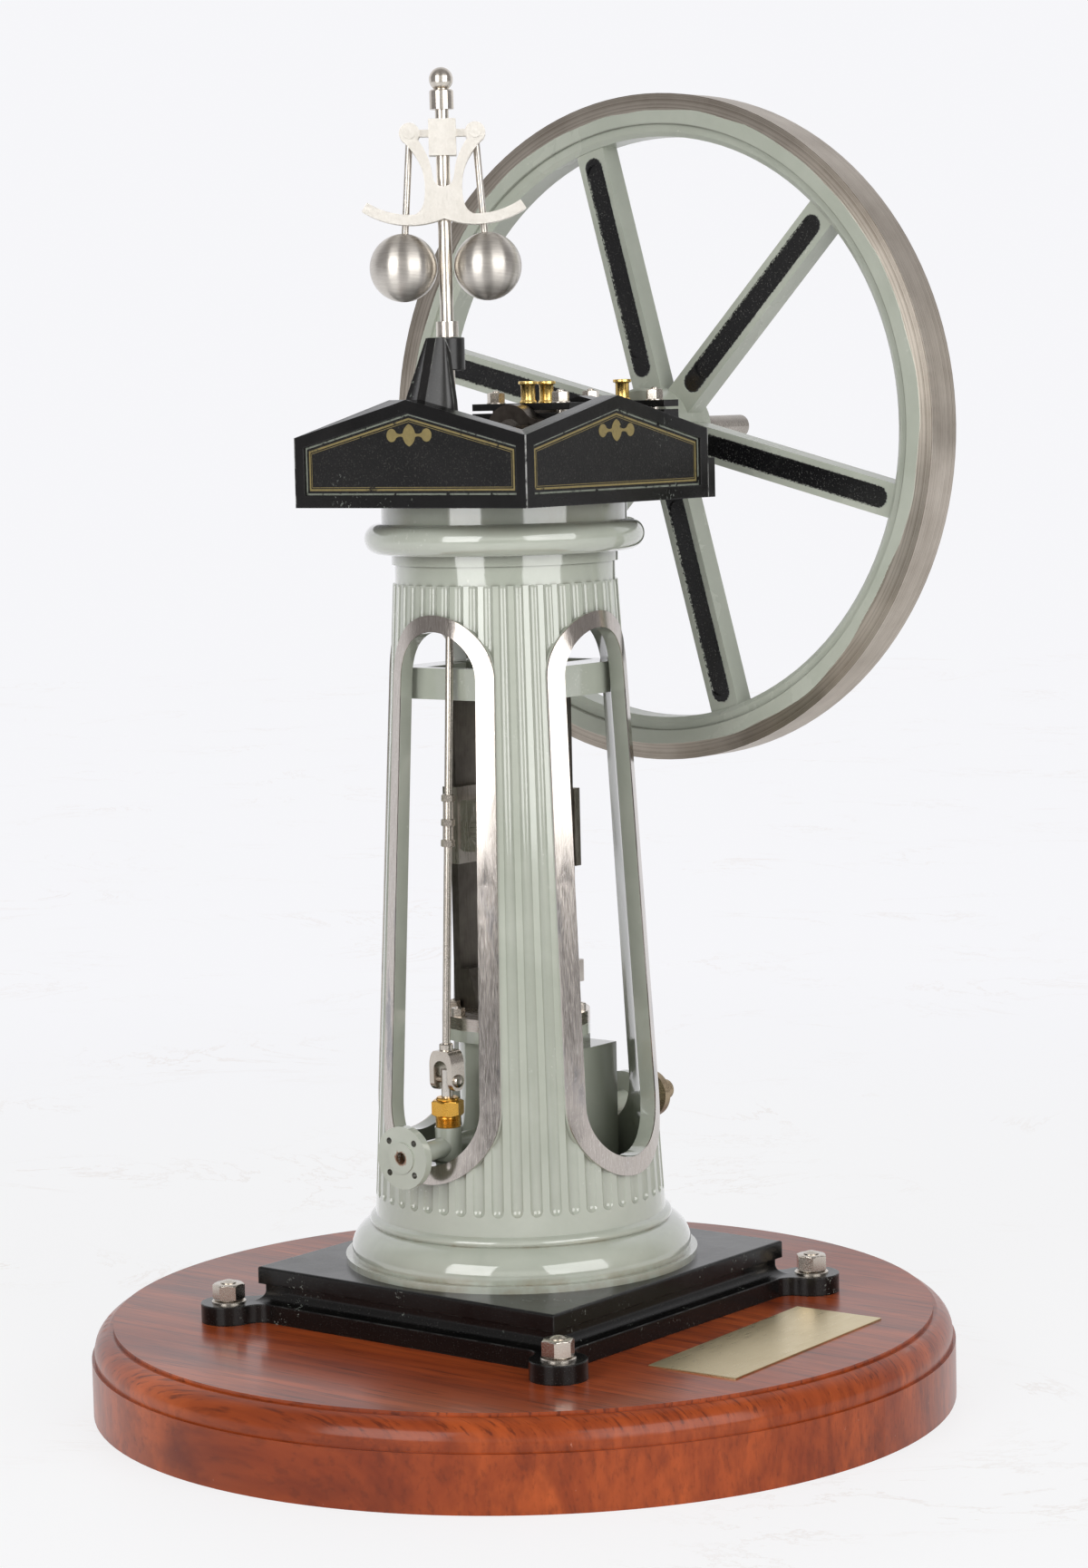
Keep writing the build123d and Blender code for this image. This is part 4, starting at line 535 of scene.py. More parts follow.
# Mahogany: long wavy grain along X, dark pores, a few scuffs, and a clear varnish. Grain is noise drawn out
# about ten times along X, or more where it is finer.
def mahogany(name, sideRadius):
    material, place = newMaterial(name)
    wave = noiseOf(place, 60.0, 5.0, 0.6, 0.8, stretch=(0.09, 1.0, 0.35))
    fine = noiseOf(place, 1100.0, 3.0, 0.6, stretch=(0.05, 1.0, 0.3))
    grain = noiseOf(place, 330.0, 3.0, 0.6, stretch=(0.03, 1.0, 0.3))
    cloud = noiseOf(place, 9.0, 2.0, 0.5)
    wood = mixOf(spreadOf(wave), (104, 36, 10), (196, 94, 40))
    wood = mixOf(rangeOf(cloud, 0.35, 0.65, 0.0, 0.6), wood, (150, 62, 26))
    wood = mixOf(rangeOf(grain, 0.42, 0.62, 0.0, 0.38), wood, (92, 32, 12))
    radius = vectorOf("LENGTH", vectorOf("MULTIPLY", place, (1, 1, 0)))
    side = mathOf("GREATER_THAN", radius, sideRadius)
    poreDepth = rangeOf(side, 0.0, 1.0, 0.6, 0.26)
    wood = mixOf(times(rangeOf(fine, 0.54, 0.66), poreDepth), wood, (62, 20, 10))
    scuff = rangeOf(noiseOf(place, 240.0, 4.0, 0.7, stretch=(1, 1, 0.5)), 0.7, 0.74)
    return shaded(material, {
        "Base Color": mixOf(times(scuff, side, 0.7), wood, (206, 160, 140)),
        "Roughness": spreadOf(cloud, 0.3, 0.42),
        "Normal": bumpOf(fine, 0.00005, 0.35),
        "Specular IOR Level": 0.15,
        "Coat Weight": 0.36,
        "Coat Roughness": 0.15,
    })


def plateBrass(name):
    material, place = newMaterial(name)
    brushed = useGroup(brushedGroup, {"Place": place, "Stretch": (1, 0.05, 1), "Fineness": 0.6})
    return shaded(material, {
        "Base Color": mixOf(brushed["Blotch"], (196, 178, 136), (214, 198, 158)),
        "Metallic": 1.0,
        "Roughness": spreadOf(brushed["Streak"], 0.26, 0.36),
        "Normal": bumpOf(brushed["Streak"], 0.00001, 0.2),
    })


def linePaint(name, colour, ground, share, scale=260.0):
    """Painted line that is rubbed away in places down to the black."""
    material, place = newMaterial(name)
    worn = rangeOf(noiseOf(place, scale, 4.0, 0.65), share - 0.05, share + 0.05)
    darker = tuple(value * 0.78 for value in colour)
    tone = mixOf(noiseOf(place, 900.0, 2.0, 0.5), colour, darker)
    return shaded(material, {
        "Base Color": mixOf(worn, ground, tone),
        "Roughness": rangeOf(worn, 0.0, 1.0, 0.25, 0.42),
        "Normal": bumpOf(worn, 0.00008, 0.5),
    })


def assign(material, *names):
    for name in names:
        slots = nodes[name].data.materials
        if not slots:
            slots.append(material)
        for index in range(len(slots)):
            slots[index] = material


print("stage: shader groups")

# Stage: a pale floor that fades into a pale backdrop, and two soft boxes beside the camera
backdropColour = (0.925, 0.925, 0.95, 1)


def seenOf(tree):
    """1 for rays that come from the camera, from a mirror or through glass."""
    path = tree.nodes.new("ShaderNodeLightPath").outputs
    seen = mathOf("MAXIMUM", path["Is Camera Ray"], path["Is Glossy Ray"])
    return mathOf("MAXIMUM", seen, path["Is Transmission Ray"])


# Floor: pale stone with thin veins where a noise crosses its middle value. Seen rays get a white glow,
# stronger with the distance, so that the far floor meets the backdrop.
def floorPaint(name):
    material, place = newMaterial(name)
    tree = material.node_tree
    veins = noiseOf(place, 7.0, 8.0, 0.7, 1.6, stretch=(0.7, 1.0, 1.0))
    thin = rangeOf(apart(veins, 0.5), 0.0, 0.012, 1.0, 0.0)
    vein = times(thin, rangeOf(noiseOf(place, 9.0, 2.0, 0.5), 0.5, 0.65))
    cloud = rangeOf(noiseOf(place, 4.0, 4.0, 0.6), 0.35, 0.7)
    shade = mixOf(cloud, (244, 244, 247), (238, 237, 240))
    shade = mixOf(times(vein, 0.5), shade, (214, 204, 196))
    shaded(material, {"Base Color": shade, "Roughness": 0.5})
    distance = vectorOf("LENGTH", place)
    far = rangeOf(distance, 0.2, 0.75, smooth=True)
    glow = mixOf(far, (0.985, 0.985, 0.99, 1), backdropColour)
    glow = mixOf(times(vein, 0.32), glow, (226, 214, 206))
    lit = nodeFrom("ShaderNodeEmission", {"Color": glow, "Strength": 1.0}).outputs[0]
    fade = times(rangeOf(distance, 0.16, 0.85, 0.8, 1.0, smooth=True), seenOf(tree))
    matt = tree.nodes["Principled BSDF"].outputs[0]
    mixed = nodeFrom("ShaderNodeMixShader", (fade, matt, lit)).outputs[0]
    setInputs(tree.nodes["Material Output"], {"Surface": mixed})
    return material


def makeFloor(near=-0.85, far=3, half=3):
    mesh = bpy.data.meshes.new("floor")
    across = Vector((ahead.y, -ahead.x, 0))
    places = ((-half, near), (half, near), (half, far), (-half, far))
    corners = [across * side + ahead * depth for side, depth in places]
    mesh.from_pydata(corners, [], [(0, 1, 2, 3)])
    mesh.materials.append(floorPaint("floor"))
    floor = bpy.data.objects.new("floor", mesh)
    scene.collection.objects.link(floor)


def makeLight(name, turn, distance, height, size, power):
    data = bpy.data.lights.new(name, "AREA")
    data.shape = "RECTANGLE"
    data.size, data.size_y = size
    data.energy = power
    lamp = bpy.data.objects.new(name, data)
    scene.collection.objects.link(lamp)
    place = standing(math.radians(turn), distance, height)
    aim = Vector((0, 0, 0.2)) - place
    lamp.matrix_world = Matrix.Translation(place) @ aim.to_track_quat("-Z", "Y").to_matrix().to_4x4()
    return lamp


# The backdrop is white. Reflections also see the rest of the room: dim, darker below the horizon, with a
# bright wall behind the camera that starts a little above the level of the eye.
def makeWorld():
    world = bpy.data.worlds.new("world")
    world.use_nodes = True
    tree = world.node_tree
    background = tree.nodes["Background"]
    setInputs(background, {"Color": (0.94, 0.95, 0.97, 1), "Strength": 0.26})
    heading = addNode(tree, "ShaderNodeTexCoord").outputs["Generated"]
    facing = vectorOf("DOT_PRODUCT", heading, tuple(ahead))
    z = splitOf(heading)["Z"]
    wall = times(
        rangeOf(facing, -0.72, -0.9, smooth=True),
        rangeOf(z, 0.02, 0.06, smooth=True),
        rangeOf(z, 0.25, 0.5, 1.0, 0.0, smooth=True),
    )
    horizon = rangeOf(z, -0.1, -0.01, smooth=True)
    room = mixOf(horizon, (0.12, 0.125, 0.14, 1), (0.3, 0.29, 0.29, 1))
    room = mixOf(wall, room, (1.2, 1.18, 1.14, 1))
    camera = tree.nodes.new("ShaderNodeLightPath").outputs["Is Camera Ray"]
    back = mathOf("MAXIMUM", rangeOf(facing, 0.1, 0.62, smooth=True), camera)
    seen = {"Color": mixOf(back, room, backdropColour), "Strength": 1.0}
    seen = nodeFrom("ShaderNodeBackground", seen).outputs[0]
    mixed = nodeFrom("ShaderNodeMixShader", (seenOf(tree), background.outputs[0], seen)).outputs[0]
    setInputs(tree.nodes["World Output"], {"Surface": mixed})
    scene.world = world


makeFloor()
makeWorld()
makeLight("boxLeft", 3, 1.05, 0.5, (0.6, 0.74), 5.9)
makeLight("boxRight", 77, 1.05, 0.5, (0.85, 0.74), 6.6)
makeLight("top", 218, 0.5, 1.5, (1.0, 1.0), 4).visible_glossy = False
print("stage: stage and lights")

# Sizes read from the frame
crankLow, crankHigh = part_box("crankshaft")
crankHeight = (crankLow.z + crankHigh.z) / 2
pinLow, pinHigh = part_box("governor_spindle")
governorY = (pinLow.y + pinHigh.y) / 2
crankLine = ((0, 0, crankHeight), (0, 1, 0))
middleLine = ((0, 0, 0), (0, 0, 1))
spindleLine = ((0, governorY, 0), (0, 0, 1))

green = greenEnamel("greenEnamel")
black = blackEnamel("blackEnamel")
blackStand = blackEnamel("blackStand", 0.6, 0.26, ((10, 9, 8), (18, 16, 15)), 0.0003, 0.9)
blackBase = blackEnamel("blackBase", 0.6, 0.16, ((9, 9, 9), (16, 15, 14)), 0.0007, shine=0.34)
steelUpright = brushedMetal("steelUpright", (1, 1, 0.03), (150, 142, 134), (214, 208, 200))
# Painted shade: the guide bars and their feet get a darker steel colour for the shade inside the column
steelPaintedShade = brushedMetal("steelPaintedShade", (1, 1, 0.05), (78, 73, 68), (128, 122, 114), 1.0, 0.34)
steelSatin = brushedMetal("steelSatin", (1, 0.4, 0.5), (222, 217, 208), (240, 236, 229), 0.8, 0.34, 0.85)
steelBright = brushedMetal("steelBright", (1, 1, 0.05), (188, 182, 174), (222, 217, 210), 1.0, 0.2)
steelDark = brushedMetal("steelDark", (0.1, 1, 0.1), (84, 76, 70), (140, 132, 124), 1.0, 0.28)
steelNut = brushedMetal("steelNut", (1, 1, 1), (186, 177, 166), (212, 205, 195), 1.5, 0.2)
brassHex = brushedMetal("brassHex", (1, 1, 1), (196, 142, 52), (232, 184, 92), 1.5, 0.2)
brassCup = brushedMetal("brassCup", (1, 1, 1), (226, 186, 100), (250, 220, 146), 1.5, 0.22)
bronze = turnedMetal("bronze", *crankLine, (120, 102, 78), (196, 178, 150), 2.0)
steelShaft = turnedMetal("steelShaft", *crankLine, (120, 112, 104), (208, 202, 194))
spindleShades = ((186, 178, 168), (238, 232, 222))
steelSpindle = turnedMetal("steelSpindle", *spindleLine, *spindleShades, 3.0, 0.22, 0.25, True)
steelAxis = turnedMetal("steelAxis", *middleLine, (182, 172, 164), (222, 214, 206), 2.0, 0.26, 0.4, True)
brass = turnedMetal("brass", *middleLine, (196, 138, 48), (248, 204, 110), 2.0, 0.16)

# Marks that the paint follows, in metres, and the first spoke's angle in degrees
frameShape = {
    "low": 0.0557, "top": 0.24, "lowRadius": 0.0427, "topRadius": 0.0326, "from": 0.066, "to": 0.236,
}
wheelShape = {
    "height": crankHeight, "step": 0.0915, "bare": 0.0954, "spokes": 6, "phase": 45.5,
    "middle": 0.051, "reach": 0.03135, "half": 0.00315,
}
gableShape = {"panel": 0.0415, "corner": 0.0425}
flangeShape = {"height": 0.0792, "hole": 0.00456, "front": -0.0505}

assign(columnPaint("columnPaint", frameShape), "column")
assign(wheelPaint("wheelPaint", wheelShape), "flywheel")
assign(gablePaint("gablePaint", gableShape), "gable_right", "gable_rear", "gable_left", "gable_front")
assign(green, "cylinder", "steam_chest", "chest_cover_plate", "exhaust_pipe", "guide_ring")
assign(branchPaint("branchPaint", flangeShape), "throttle_body")
assign(black, "deck", "rear_bracket", "pedestal_inner", "pedestal_outer", "cap_inner", "cap_outer")
assign(blackStand, "governor_stand")
assign(blackBase, "base_plate")
assign(steelUpright, "connecting_rod", "valve_spindle", "eccentric_strap", "slippers")
assign(steelBright, "crosshead", "throttle_spindle")
assign(steelPaintedShade, "guide_bars", "guide_feet")
assign(steelSatin, "governor_frame")
assign(steelShaft, "crankshaft", "governor_shaft", "governor_gear")
assign(steelShaft, "eccentric_sheave", "crankpin", "gudgeon_pin")
assign(steelDark, "crank_web", "return_crank")
assign(steelSpindle, "governor_spindle", "finial", "governor_pinion")
assign(steelAxis, "cylinder_cover", "piston_rod", "piston_gland")
assign(brass, "main_brasses", "big_end_brass", "valve_gland")
assign(bronze, "exhaust_joint_ring")
assign(brassHex, "throttle_gland")
assign(mahogany("mahogany", 0.1255), "plinth")

# Each governor ball is turned about its own upright line
ballOffset = 0.0119
for side, name in ((-1, "ball_arm_left"), (1, "ball_arm_right")):
    ballX = side * ballOffset * math.cos(cameraFit["azimuth"])
    ballY = governorY + side * ballOffset * math.sin(cameraFit["azimuth"])
    ballLine = ((ballX, ballY, 0), (0, 0, 1))
    ballName = "steelBall" + str(side)
    assign(turnedMetal(ballName, *ballLine, (176, 170, 162), (236, 231, 223), 1.6, 0.36, 0.5), name)
print("stage: materials")

# Mesh helpers. Lengths are millimetres until makePiece scales them.
millimetre = 0.001
weldDistance = 2e-6
nearAxis = 0.001


def gridFaces(rows, columns, closed=True):
    width = columns if closed else columns - 1
    row, column = np.meshgrid(np.arange(rows - 1), np.arange(width), indexing="ij")
    here, after = row * columns, (column + 1) % columns
    corners = (here + column, here + after, here + columns + after, here + columns + column)
    return np.stack(corners, -1).reshape(-1, 4)


def turnsOf(count):
    return np.linspace(0, 2 * np.pi, count, endpoint=False)


# Turned surface: each profile point goes round the axis, to radius cos t, radius sin t, height
def turnedSurface(profile, sides=48):
    radius, height = np.asarray(profile, float).T
    turn = turnsOf(sides)
    level = np.repeat(height[:, None], sides, 1)
    points = np.stack([np.outer(radius, np.cos(turn)), np.outer(radius, np.sin(turn)), level], -1)
    return points.reshape(-1, 3), gridFaces(len(radius), sides)


# Chamfered nut: at each height the radius is the smaller of the hexagon's, half the flats over the cosine of
# the angle from the nearest flat, and that of a cone which closes in towards the end
chamfer = {"rise": 0.062, "start": 0.95, "slope": 1.73}


def nutSurface(flats, height, bore, chamferBelow=True, sides=48):
    turn = turnsOf(sides)
    hexagon = flats / 2 / np.cos((turn + np.pi / 6) % (np.pi / 3) - np.pi / 6)
    steps = np.linspace(0, 1, 5) * flats * chamfer["rise"]
    cone = flats / 2 * chamfer["start"] + chamfer["slope"] * steps
    lower = list(zip(steps, cone)) if chamferBelow else [(0.0, flats)]
    upper = list(zip(height - steps[::-1], cone[::-1]))
    rows = []
    for level, limit in [(0.0, bore)] + lower + upper + [(height, bore)]:
        radius = np.minimum(hexagon, limit)
        rows.append(np.stack([radius * np.cos(turn), radius * np.sin(turn), np.full(sides, level)], -1))
    return np.concatenate(rows), gridFaces(len(rows), sides)


# Stud end: straight side, then a dome whose height falls with the square of the radius
def studSurface(radius, low, top, dome):
    share = np.linspace(1, nearAxis, 6)
    profile = [(radius, low), (radius, top - dome)]
    profile += [(radius * part * 0.98, top - dome * part ** 2) for part in share]
    return turnedSurface(profile, 32)


def movedTo(surface, centre, axis=(0, 0, 1), turn=0.0):
    """Turns a surface about +Z, points its +Z along an axis and moves it to a place."""
    points, faces = surface
    rotation = Vector((0, 0, 1)).rotation_difference(Vector(axis)).to_matrix()
    rotation = rotation @ Matrix.Rotation(math.radians(turn), 3, "Z")
    return points @ np.array(rotation).T + np.array(centre, float), faces


def fastener(bolt, x, y, turn):
    """Washer, nut and stud end of one bolt. Heights are from its seat."""
    seat, thick, parts = bolt["seat"], 0.0, []
    if "washer" in bolt:
        outer, thick, side, bevel = bolt["washer"]
        ring = [(bolt["stud"], 0), (outer, 0), (outer, side), (outer - bevel, thick), (bolt["stud"], thick)]
        parts.append(movedTo(turnedSurface(ring), (x, y, seat)))
    nut = nutSurface(bolt["flats"], bolt["height"], bolt["stud"], bolt["chamferBelow"])
    stud = studSurface(bolt["stud"], bolt["low"], bolt["top"], bolt["dome"])
    return parts + [movedTo(nut, (x, y, seat + thick), turn=turn), movedTo(stud, (x, y, seat))]


def makePiece(name, surfaces, material, body, sharp=32):
    """Joins surfaces into one object that rides on a body."""
    mesh = bpy.data.meshes.new(name)
    starts = np.cumsum([0] + [len(points) for points, faces in surfaces])
    joined = np.concatenate([points for points, faces in surfaces]) * millimetre
    faces = np.concatenate([surface[1] + start for surface, start in zip(surfaces, starts)])
    mesh.from_pydata(joined.tolist(), [], faces.tolist())
    work = bmesh.new()
    work.from_mesh(mesh)
    bmesh.ops.remove_doubles(work, verts=work.verts, dist=weldDistance)
    bmesh.ops.recalc_face_normals(work, faces=work.faces)
    work.to_mesh(mesh)
    work.free()
    mesh.shade_smooth()
    mesh.set_sharp_from_angle(angle=math.radians(sharp))
    mesh.materials.append(material)
    piece = bpy.data.objects.new(name, mesh)
    scene.collection.objects.link(piece)
    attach(piece, body)
    return piece


# Holding-down studs with washers and nuts
holding = {
    "offset": 61.2, "seat": 31.5, "washer": (5.0, 0.6, 0.36, 0.25), "flats": 8.2, "height": 5.0,
    "chamferBelow": True, "stud": 2.3, "low": 0, "top": 6.6, "dome": 0.7,
}
surfaces = []
for number, (x, y) in enumerate(((-1, -1), (1, -1), (1, 1), (-1, 1))):
    surfaces += fastener(holding, x * holding["offset"], y * holding["offset"], number * 17 + 8)
holdingNuts = makePiece("holding_nuts", surfaces, steelNut, "engine")
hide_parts("holding_bolts")

# Studs and nuts on the bearing caps
capBolt = {
    "offset": 12.0, "rows": (12.5, 58.0), "seat": 290.9, "washer": (2.75, 0.35, 0.25, 0.1), "flats": 4.5,
    "height": 2.9, "chamferBelow": False, "stud": 1.1, "low": -3, "top": 3.95, "dome": 0.35,
}
surfaces = []
for number, y in enumerate(capBolt["rows"]):
    for side in (-1, 1):
        surfaces += fastener(capBolt, side * capBolt["offset"], y, 12 + 23 * number + 14 * side)
capNuts = makePiece("cap_nuts", surfaces, steelNut, "engine")
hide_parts("cap_studs")

# Studs and nuts round the cylinder cover
coverBolt = {
    "circle": 19.2, "count": 8, "seat": 114.4, "flats": 3.6, "height": 2.3,
    "chamferBelow": False, "stud": 0.9, "low": -7.0, "top": 2.7, "dome": 0.3,
}
surfaces = []
for number in range(coverBolt["count"]):
    turn = (number + 0.5) * 360 / coverBolt["count"]
    x, y = (coverBolt["circle"] * part(math.radians(turn)) for part in (math.cos, math.sin))
    surfaces += fastener(coverBolt, x, y, turn + 11 * number)
coverNuts = makePiece("cover_nuts", surfaces, steelNut, "engine")
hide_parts("cover_studs")


# Thread: a turned profile that rises and falls between the crest and the root, once each pitch
def threaded(radius, length, pitch, depth, bore):
    profile = [(bore, 0)]
    for number in range(int(length / pitch)):
        profile += [(radius - depth, pitch * number), (radius, pitch * (number + 0.5))]
    return turnedSurface(profile + [(radius - depth, length), (bore, length)], 40)


# Gland of the steam valve: threaded collar, chamfered hexagon and a low round lip
gland = {
    "y": -32.3, "low": 84.9, "thread": (3.65, 3.2, 0.5, 0.2), "hexagon": 88.1, "flats": 8.2, "height": 4.6,
    "lip": 92.7, "bore": 1.4,
}
lip = [(gland["bore"], 0), (3.3, 0), (3.3, 0.5), (3.0, 0.8), (gland["bore"], 0.8)]
hexagon = nutSurface(gland["flats"], gland["height"], gland["bore"])
surfaces = [
    movedTo(threaded(*gland["thread"], gland["bore"]), (0, gland["y"], gland["low"])),
    movedTo(hexagon, (0, gland["y"], gland["hexagon"]), turn=20),
    movedTo(turnedSurface(lip), (0, gland["y"], gland["lip"])),
]
glandPiece = makePiece("steam_gland", surfaces, brassHex, "engine")
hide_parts("throttle_gland")


# Fork: an outer and an inner outline with the same number of points. Each pair of points carries a box
# section, and its depth narrows below the pin as a circle does, which rounds the ends of the legs.
def forkSurface(fork):
    quarter = np.linspace(0, np.pi / 2, 7)
    rise = fork["pin"] + (fork["low"] - fork["pin"]) * np.cos(quarter)
    half, slot, side, spring = fork["half"], fork["slot"], fork["side"], fork["spring"]
    turn = np.linspace(np.pi, np.pi / 2, 9)
    shoulder = -fork["neck"] + (half - fork["neck"]) * np.cos(turn)
    shoulder = np.stack([shoulder, side + (fork["shoulder"] - side) * np.sin(turn)], -1)
    arch = np.stack([slot * np.cos(turn), spring + slot * np.sin(turn)], -1)
    outer = np.concatenate([np.stack([0 * rise - half, rise], -1), [(-half, side)] * 2, shoulder[1:]])
    inner = np.concatenate([np.stack([0 * rise - slot, rise], -1), [(-slot, spring)] * 2, arch[1:]])
    outer, inner = (np.concatenate([line, line[::-1] * (-1, 1)]) for line in (outer, inner))
    below = np.maximum(fork["pin"] - outer[:, 1], 0)
    depth = np.sqrt(np.maximum(fork["depth"] ** 2 - below ** 2, 0.01))
    ring = ((outer, -1), (outer, 1), (inner, 1), (inner, -1), (outer, -1))
    rows = [np.stack([line[:, 0], hand * depth, line[:, 1]], -1) for line, hand in ring]
    count = len(outer)
    ends = np.array([[row * count + column for row in range(4)] for column in (0, count - 1)])
    return np.concatenate(rows), np.concatenate([gridFaces(5, count, False), ends])


def closedTube(radius, length, bore=nearAxis, sides=32):
    return turnedSurface([(bore, 0), (radius, 0), (radius, length), (bore, length)], sides)


# Governor link: fork, neck, leaning rod and turnbuckle with three nuts
link = {
    "y": -32.3, "low": 107.1, "topY": -23.5, "top": 272.5, "rod": 1.15, "sleeve": 1.5, "start": 58.4,
    "length": 12.9, "flats": 3.5, "nut": 2.1, "nutsAt": (0, 0.457, 1), "bore": 1.0,
}
fork = {
    "low": 95.5, "pin": 98.4, "side": 102.6, "shoulder": 107.1, "spring": 101.8, "half": 4.1, "slot": 2.5,
    "neck": 2.0, "depth": 2.9,
}
lean = Vector((0, link["topY"] - link["y"], link["top"] - link["low"]))
reach = lean.length
lean.normalize()


def alongLink(distance):
    return (0, link["y"] + lean.y * distance, link["low"] + lean.z * distance)


neck = [(nearAxis, -0.1), (2.0, -0.1), (2.0, 1.6), (1.75, 1.9), (nearAxis, 1.9)]
sleeve = closedTube(link["sleeve"], link["length"], link["bore"])
surfaces = [
    movedTo(forkSurface(fork), (0, link["y"], 0)),
    movedTo(turnedSurface(neck, 32), (0, link["y"], link["low"])),
    movedTo(closedTube(link["rod"], reach), alongLink(0), lean),
    movedTo(sleeve, alongLink(link["start"]), lean),
]
for share in link["nutsAt"]:
    nut = nutSurface(link["flats"], link["nut"], link["bore"])
    surfaces.append(movedTo(nut, alongLink(link["start"] + share * link["length"]), lean, 10))
linkPiece = makePiece("linkage", surfaces, steelNut, "engine")
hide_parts("governor_link")

# Pin through the fork, with a rounded head at each end
head = [(nearAxis, -5.3), (1.1, -5.25), (1.7, -4.85), (1.9, -4.4), (1.9, -4.1), (0.95, -4.1)]
pin = turnedSurface(head + [(radius, -level) for radius, level in head[::-1]], 32)
pin = movedTo(pin, (0, link["y"], fork["pin"]), (1, 0, 0))
pinPiece = makePiece("link_pin", [pin], steelNut, "engine")
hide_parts("clevis_pin")

# Oil cups: a turned profile with a flared foot, straight body and rolled lip, open at the top
cupProfile = [
    (nearAxis, 0), (2.45, 0), (2.5, 0.25), (2.4, 0.55), (2.1, 0.85), (2.05, 1.2), (2.05, 5.1), (2.2, 5.35),
    (2.6, 5.45), (2.75, 5.6), (2.78, 6.0), (2.7, 6.3), (2.5, 6.4), (1.6, 6.4), (1.45, 6.25), (1.4, 5.9),
    (1.4, 1.6), (nearAxis, 1.5),
]
cup = turnedSurface(cupProfile, 40)
strapPlace = (0, 21.2, 290.8)
bearingCups = [movedTo(cup, (0, y, capBolt["seat"])) for y in capBolt["rows"]]
cups = makePiece("bearing_cups", bearingCups, brassCup, "engine")
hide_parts("oil_cups")
strapCup = makePiece("strap_oil_cup", [movedTo(cup, strapPlace)], brassCup, "eccentric")
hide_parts("strap_cup")


# Gable outline drawn in: each side moves inwards by the same distance, and neighbours meet again at corners
def drawnIn(corners, inset):
    corners = np.asarray(corners, float)
    along = np.roll(corners, -1, 0) - corners
    along /= np.linalg.norm(along, axis=1)[:, None]
    normal = np.stack([-along[:, 1], along[:, 0]], -1)
    before = np.roll(normal, 1, 0)
    return corners + (normal + before) * inset / (1 + (normal * before).sum(1))[:, None]


def onPanel(flat, side, lift):
    """Places (along, height) points on the front or the right plate, lifted off its panel."""
    along, height = flat.T
    depth = np.full(len(flat), gable["panel"] + lift)
    return np.stack([along, -depth, height] if side == "front" else [depth, along, height], -1)


def ribbon(side, low, high):
    """Flat closed line between two insets of the gable's outline."""
    both = np.concatenate([drawnIn(gable["outline"], low), drawnIn(gable["outline"], high)])
    return onPanel(both, side, gable["lift"]), gridFaces(2, len(gable["outline"]))


# Fan over a closed outline: the outline and one middle point
def fanned(outline, side, lift):
    middle = np.repeat(outline.mean(0)[None], len(outline), 0)
    return onPanel(np.concatenate([outline, middle]), side, lift), gridFaces(2, len(outline))


# Ornament: a pointed oval, whose half width is a power of the sine of its angle, between two discs on bars
# whose half height grows with the square of the distance from their middle
def ornament(side, height):
    turn = turnsOf(48)
    width, tall = motif["oval"]
    wave = np.sign(np.sin(turn)) * np.abs(np.sin(turn)) ** motif["power"]
    oval = np.stack([wave * width, height + tall * np.cos(turn)], -1)
    parts = [fanned(oval, side, gable["lift"])]
    for hand in (-1, 1):
        across, level = motif["disc"] * np.cos(turn), height + motif["disc"] * np.sin(turn)
        disc = np.stack([hand * motif["discAt"] + across, level], -1)
        parts.append(fanned(disc, side, gable["lift"] + 0.01))
        share = np.linspace(0, 1, 9)
        half = motif["waist"] + motif["flare"] * (2 * share - 1) ** 2
        along = hand * (motif["barFrom"] + motif["bar"] * share)
        bar = np.concatenate([np.stack([along, height + edge * half], -1) for edge in (1, -1)])
        parts.append((onPanel(bar, side, gable["lift"] + 0.005), gridFaces(2, 9, False)))
    return parts


gable = {
    "outline": ((-42.5, 262.5), (42.5, 262.5), (42.5, 282.5), (0, 292.7), (-42.5, 282.5)),
    "panel": 41.5, "lift": 0.06, "ornament": 282.9,
    "gold": ((4.85, 5.4), (5.75, 5.9)), "pale": (3.66, 4.15),
}
motif = {
    "oval": (2.3, 3.1), "power": 1.4, "disc": 1.85, "discAt": 6.4,
    "barFrom": 1.8, "bar": 3.0, "waist": 0.35, "flare": 0.45,
}
goldParts, paleParts = [], []
for side in ("front", "right"):
    goldParts += [ribbon(side, *insets) for insets in gable["gold"]] + ornament(side, gable["ornament"])
    paleParts.append(ribbon(side, *gable["pale"]))
goldPaint = linePaint("goldPaint", (150, 134, 84), (22, 22, 21), 0.36)
makePiece("panel_lines", goldParts, goldPaint, "engine")
palePaint = linePaint("palePaint", (150, 156, 142), (24, 24, 23), 0.4, 420.0)
makePiece("panel_edge", paleParts, palePaint, "engine")


# Slab with round corners: its outline at three insets and heights, closed by a middle point
def slab(width, length, thick, corner):
    turn = turnsOf(32) + np.pi / 32
    cosine, sine = np.cos(turn), np.sin(turn)
    rows = []
    for inset, level in ((0, 0), (0, thick * 0.7), (0.12, thick)):
        x = np.sign(cosine) * (width / 2 - corner) + (corner - inset) * cosine
        y = np.sign(sine) * (length / 2 - corner) + (corner - inset) * sine
        rows.append(np.stack([x, y, 0 * turn + level], -1))
    rows.append(rows[-1] * (0, 0, 1))
    return np.concatenate(rows), gridFaces(len(rows), 32)


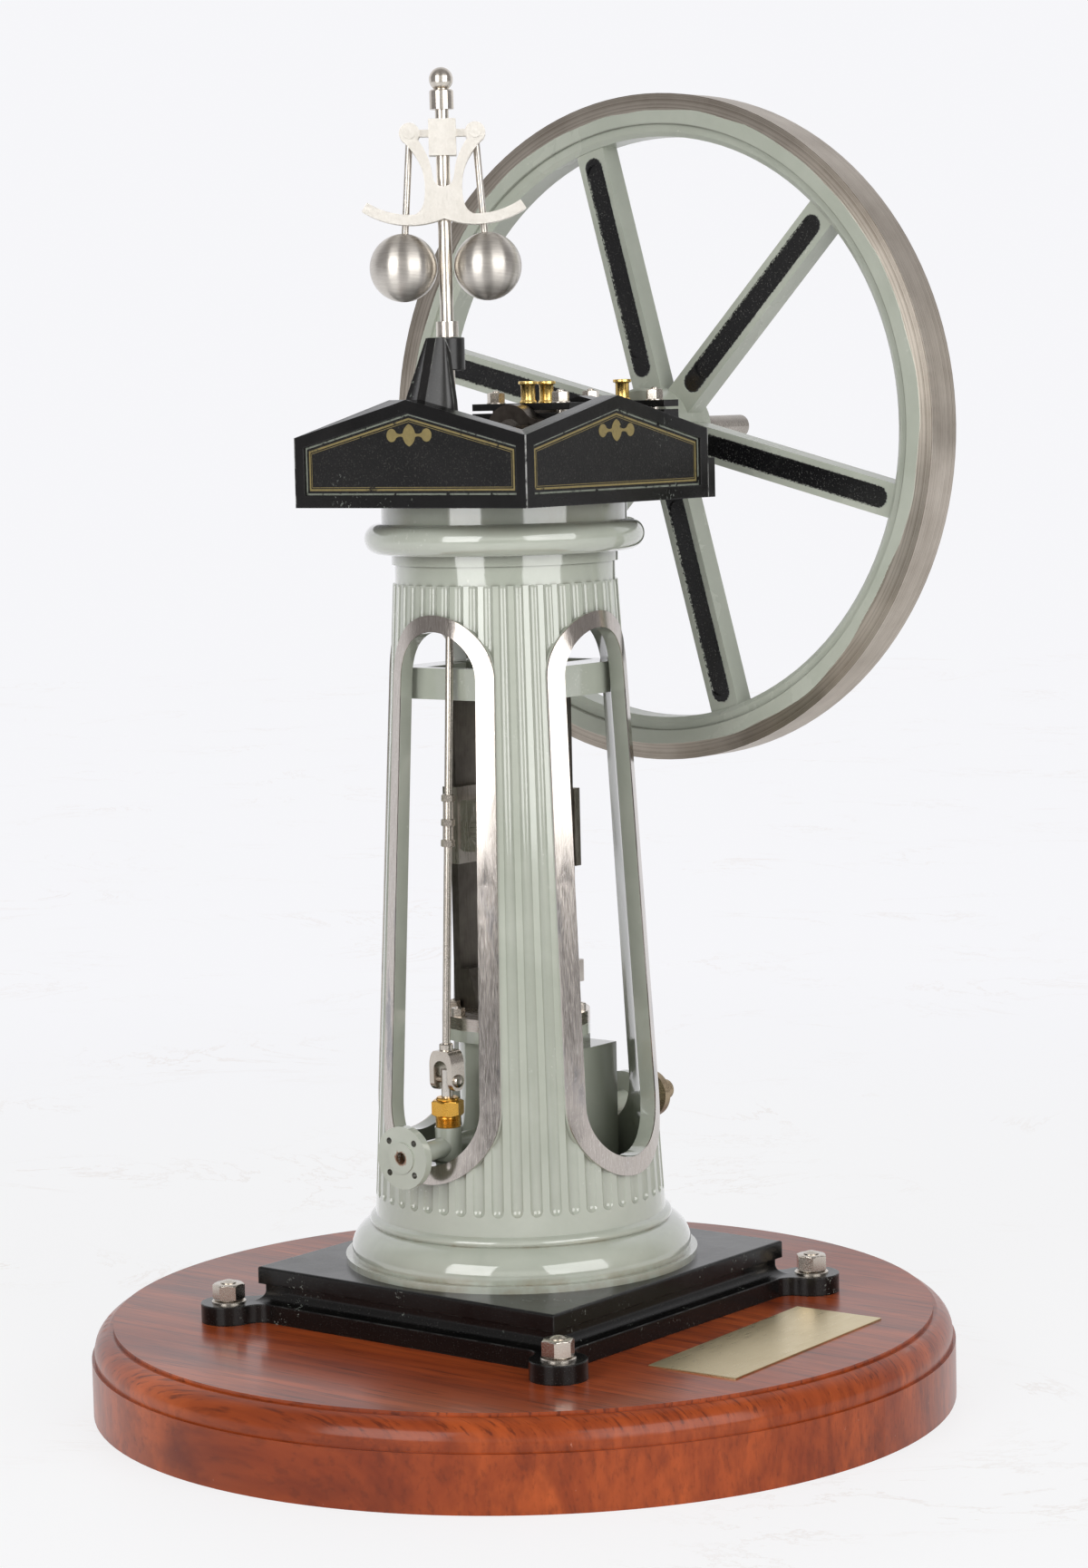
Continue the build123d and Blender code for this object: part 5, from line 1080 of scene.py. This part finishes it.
# Bare plate on the plinth
plate = {"width": 28.5, "length": 78.5, "thick": 0.5, "corner": 0.3, "centre": (86.3, 2.2, 26.0), "turn": 3.0}
plateSurface = slab(plate["width"], plate["length"], plate["thick"], plate["corner"])
plateSurface = movedTo(plateSurface, plate["centre"], turn=plate["turn"])
makePiece("blank_plate", [plateSurface], plateBrass("plateBrass"), "engine")


# Governor stand: level sections joined by straight lines. Each runs along the plate's face, up a flank that
# rises with a power of the way in to the rib, over the flat rib and down the other flank.
def standSurface(stand):
    share = np.linspace(0, 1, 9)
    rib, rows = stand["rib"], []
    for level, back, left, right, side, ridge in stand["sections"]:
        flank = back - side - (ridge - side) * share ** stand["power"]
        first = np.stack([-left + (left - rib) * share, flank], -1)
        second = np.stack([right - (right - rib) * share, flank], -1)[::-1]
        outline = np.concatenate([[(-left, back)], first, second, [(right, back)]])
        rows.append(np.column_stack([outline, np.full(len(outline), level)]))
    rows = [0 * rows[0] + rows[0].mean(0)] + rows + [0 * rows[-1] + rows[-1].mean(0)]
    return np.concatenate(rows), gridFaces(len(rows), len(rows[0]))


# Sections: height, back, left and right half widths, depth at the sides and at the rib
stand = {
    "sections": (
        (270.0, -28.7, 14.0, 9.0, 2.4, 7.4),
        (292.0, -28.7, 10.8, 7.3, 1.6, 7.3),
        (310.0, -26.1, 4.7, 2.4, 1.4, 4.4),
    ),
    "rib": 1.6, "power": 2.4, "foot": (40.0, 7.6, 3.0, 0.4), "footPlace": (0, -32.5, 267.0),
    "boss": 4.8, "bore": 1.96, "height": 9.2, "bevel": 0.2, "bossPlace": (0, -23.5, 300.8),
}
boss, bore, bevel, tall = stand["boss"], stand["bore"], stand["bevel"], stand["height"]
ring = [(bore, 0), (boss - bevel, 0), (boss, bevel), (boss, tall - bevel), (boss - bevel, tall), (bore, tall)]
surfaces = [
    standSurface(stand),
    movedTo(slab(*stand["foot"]), stand["footPlace"]),
    movedTo(turnedSurface(ring), stand["bossPlace"]),
]
standPiece = makePiece("ribbed_stand", surfaces, blackStand, "engine")
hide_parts("governor_stand")
print("stage: pieces")
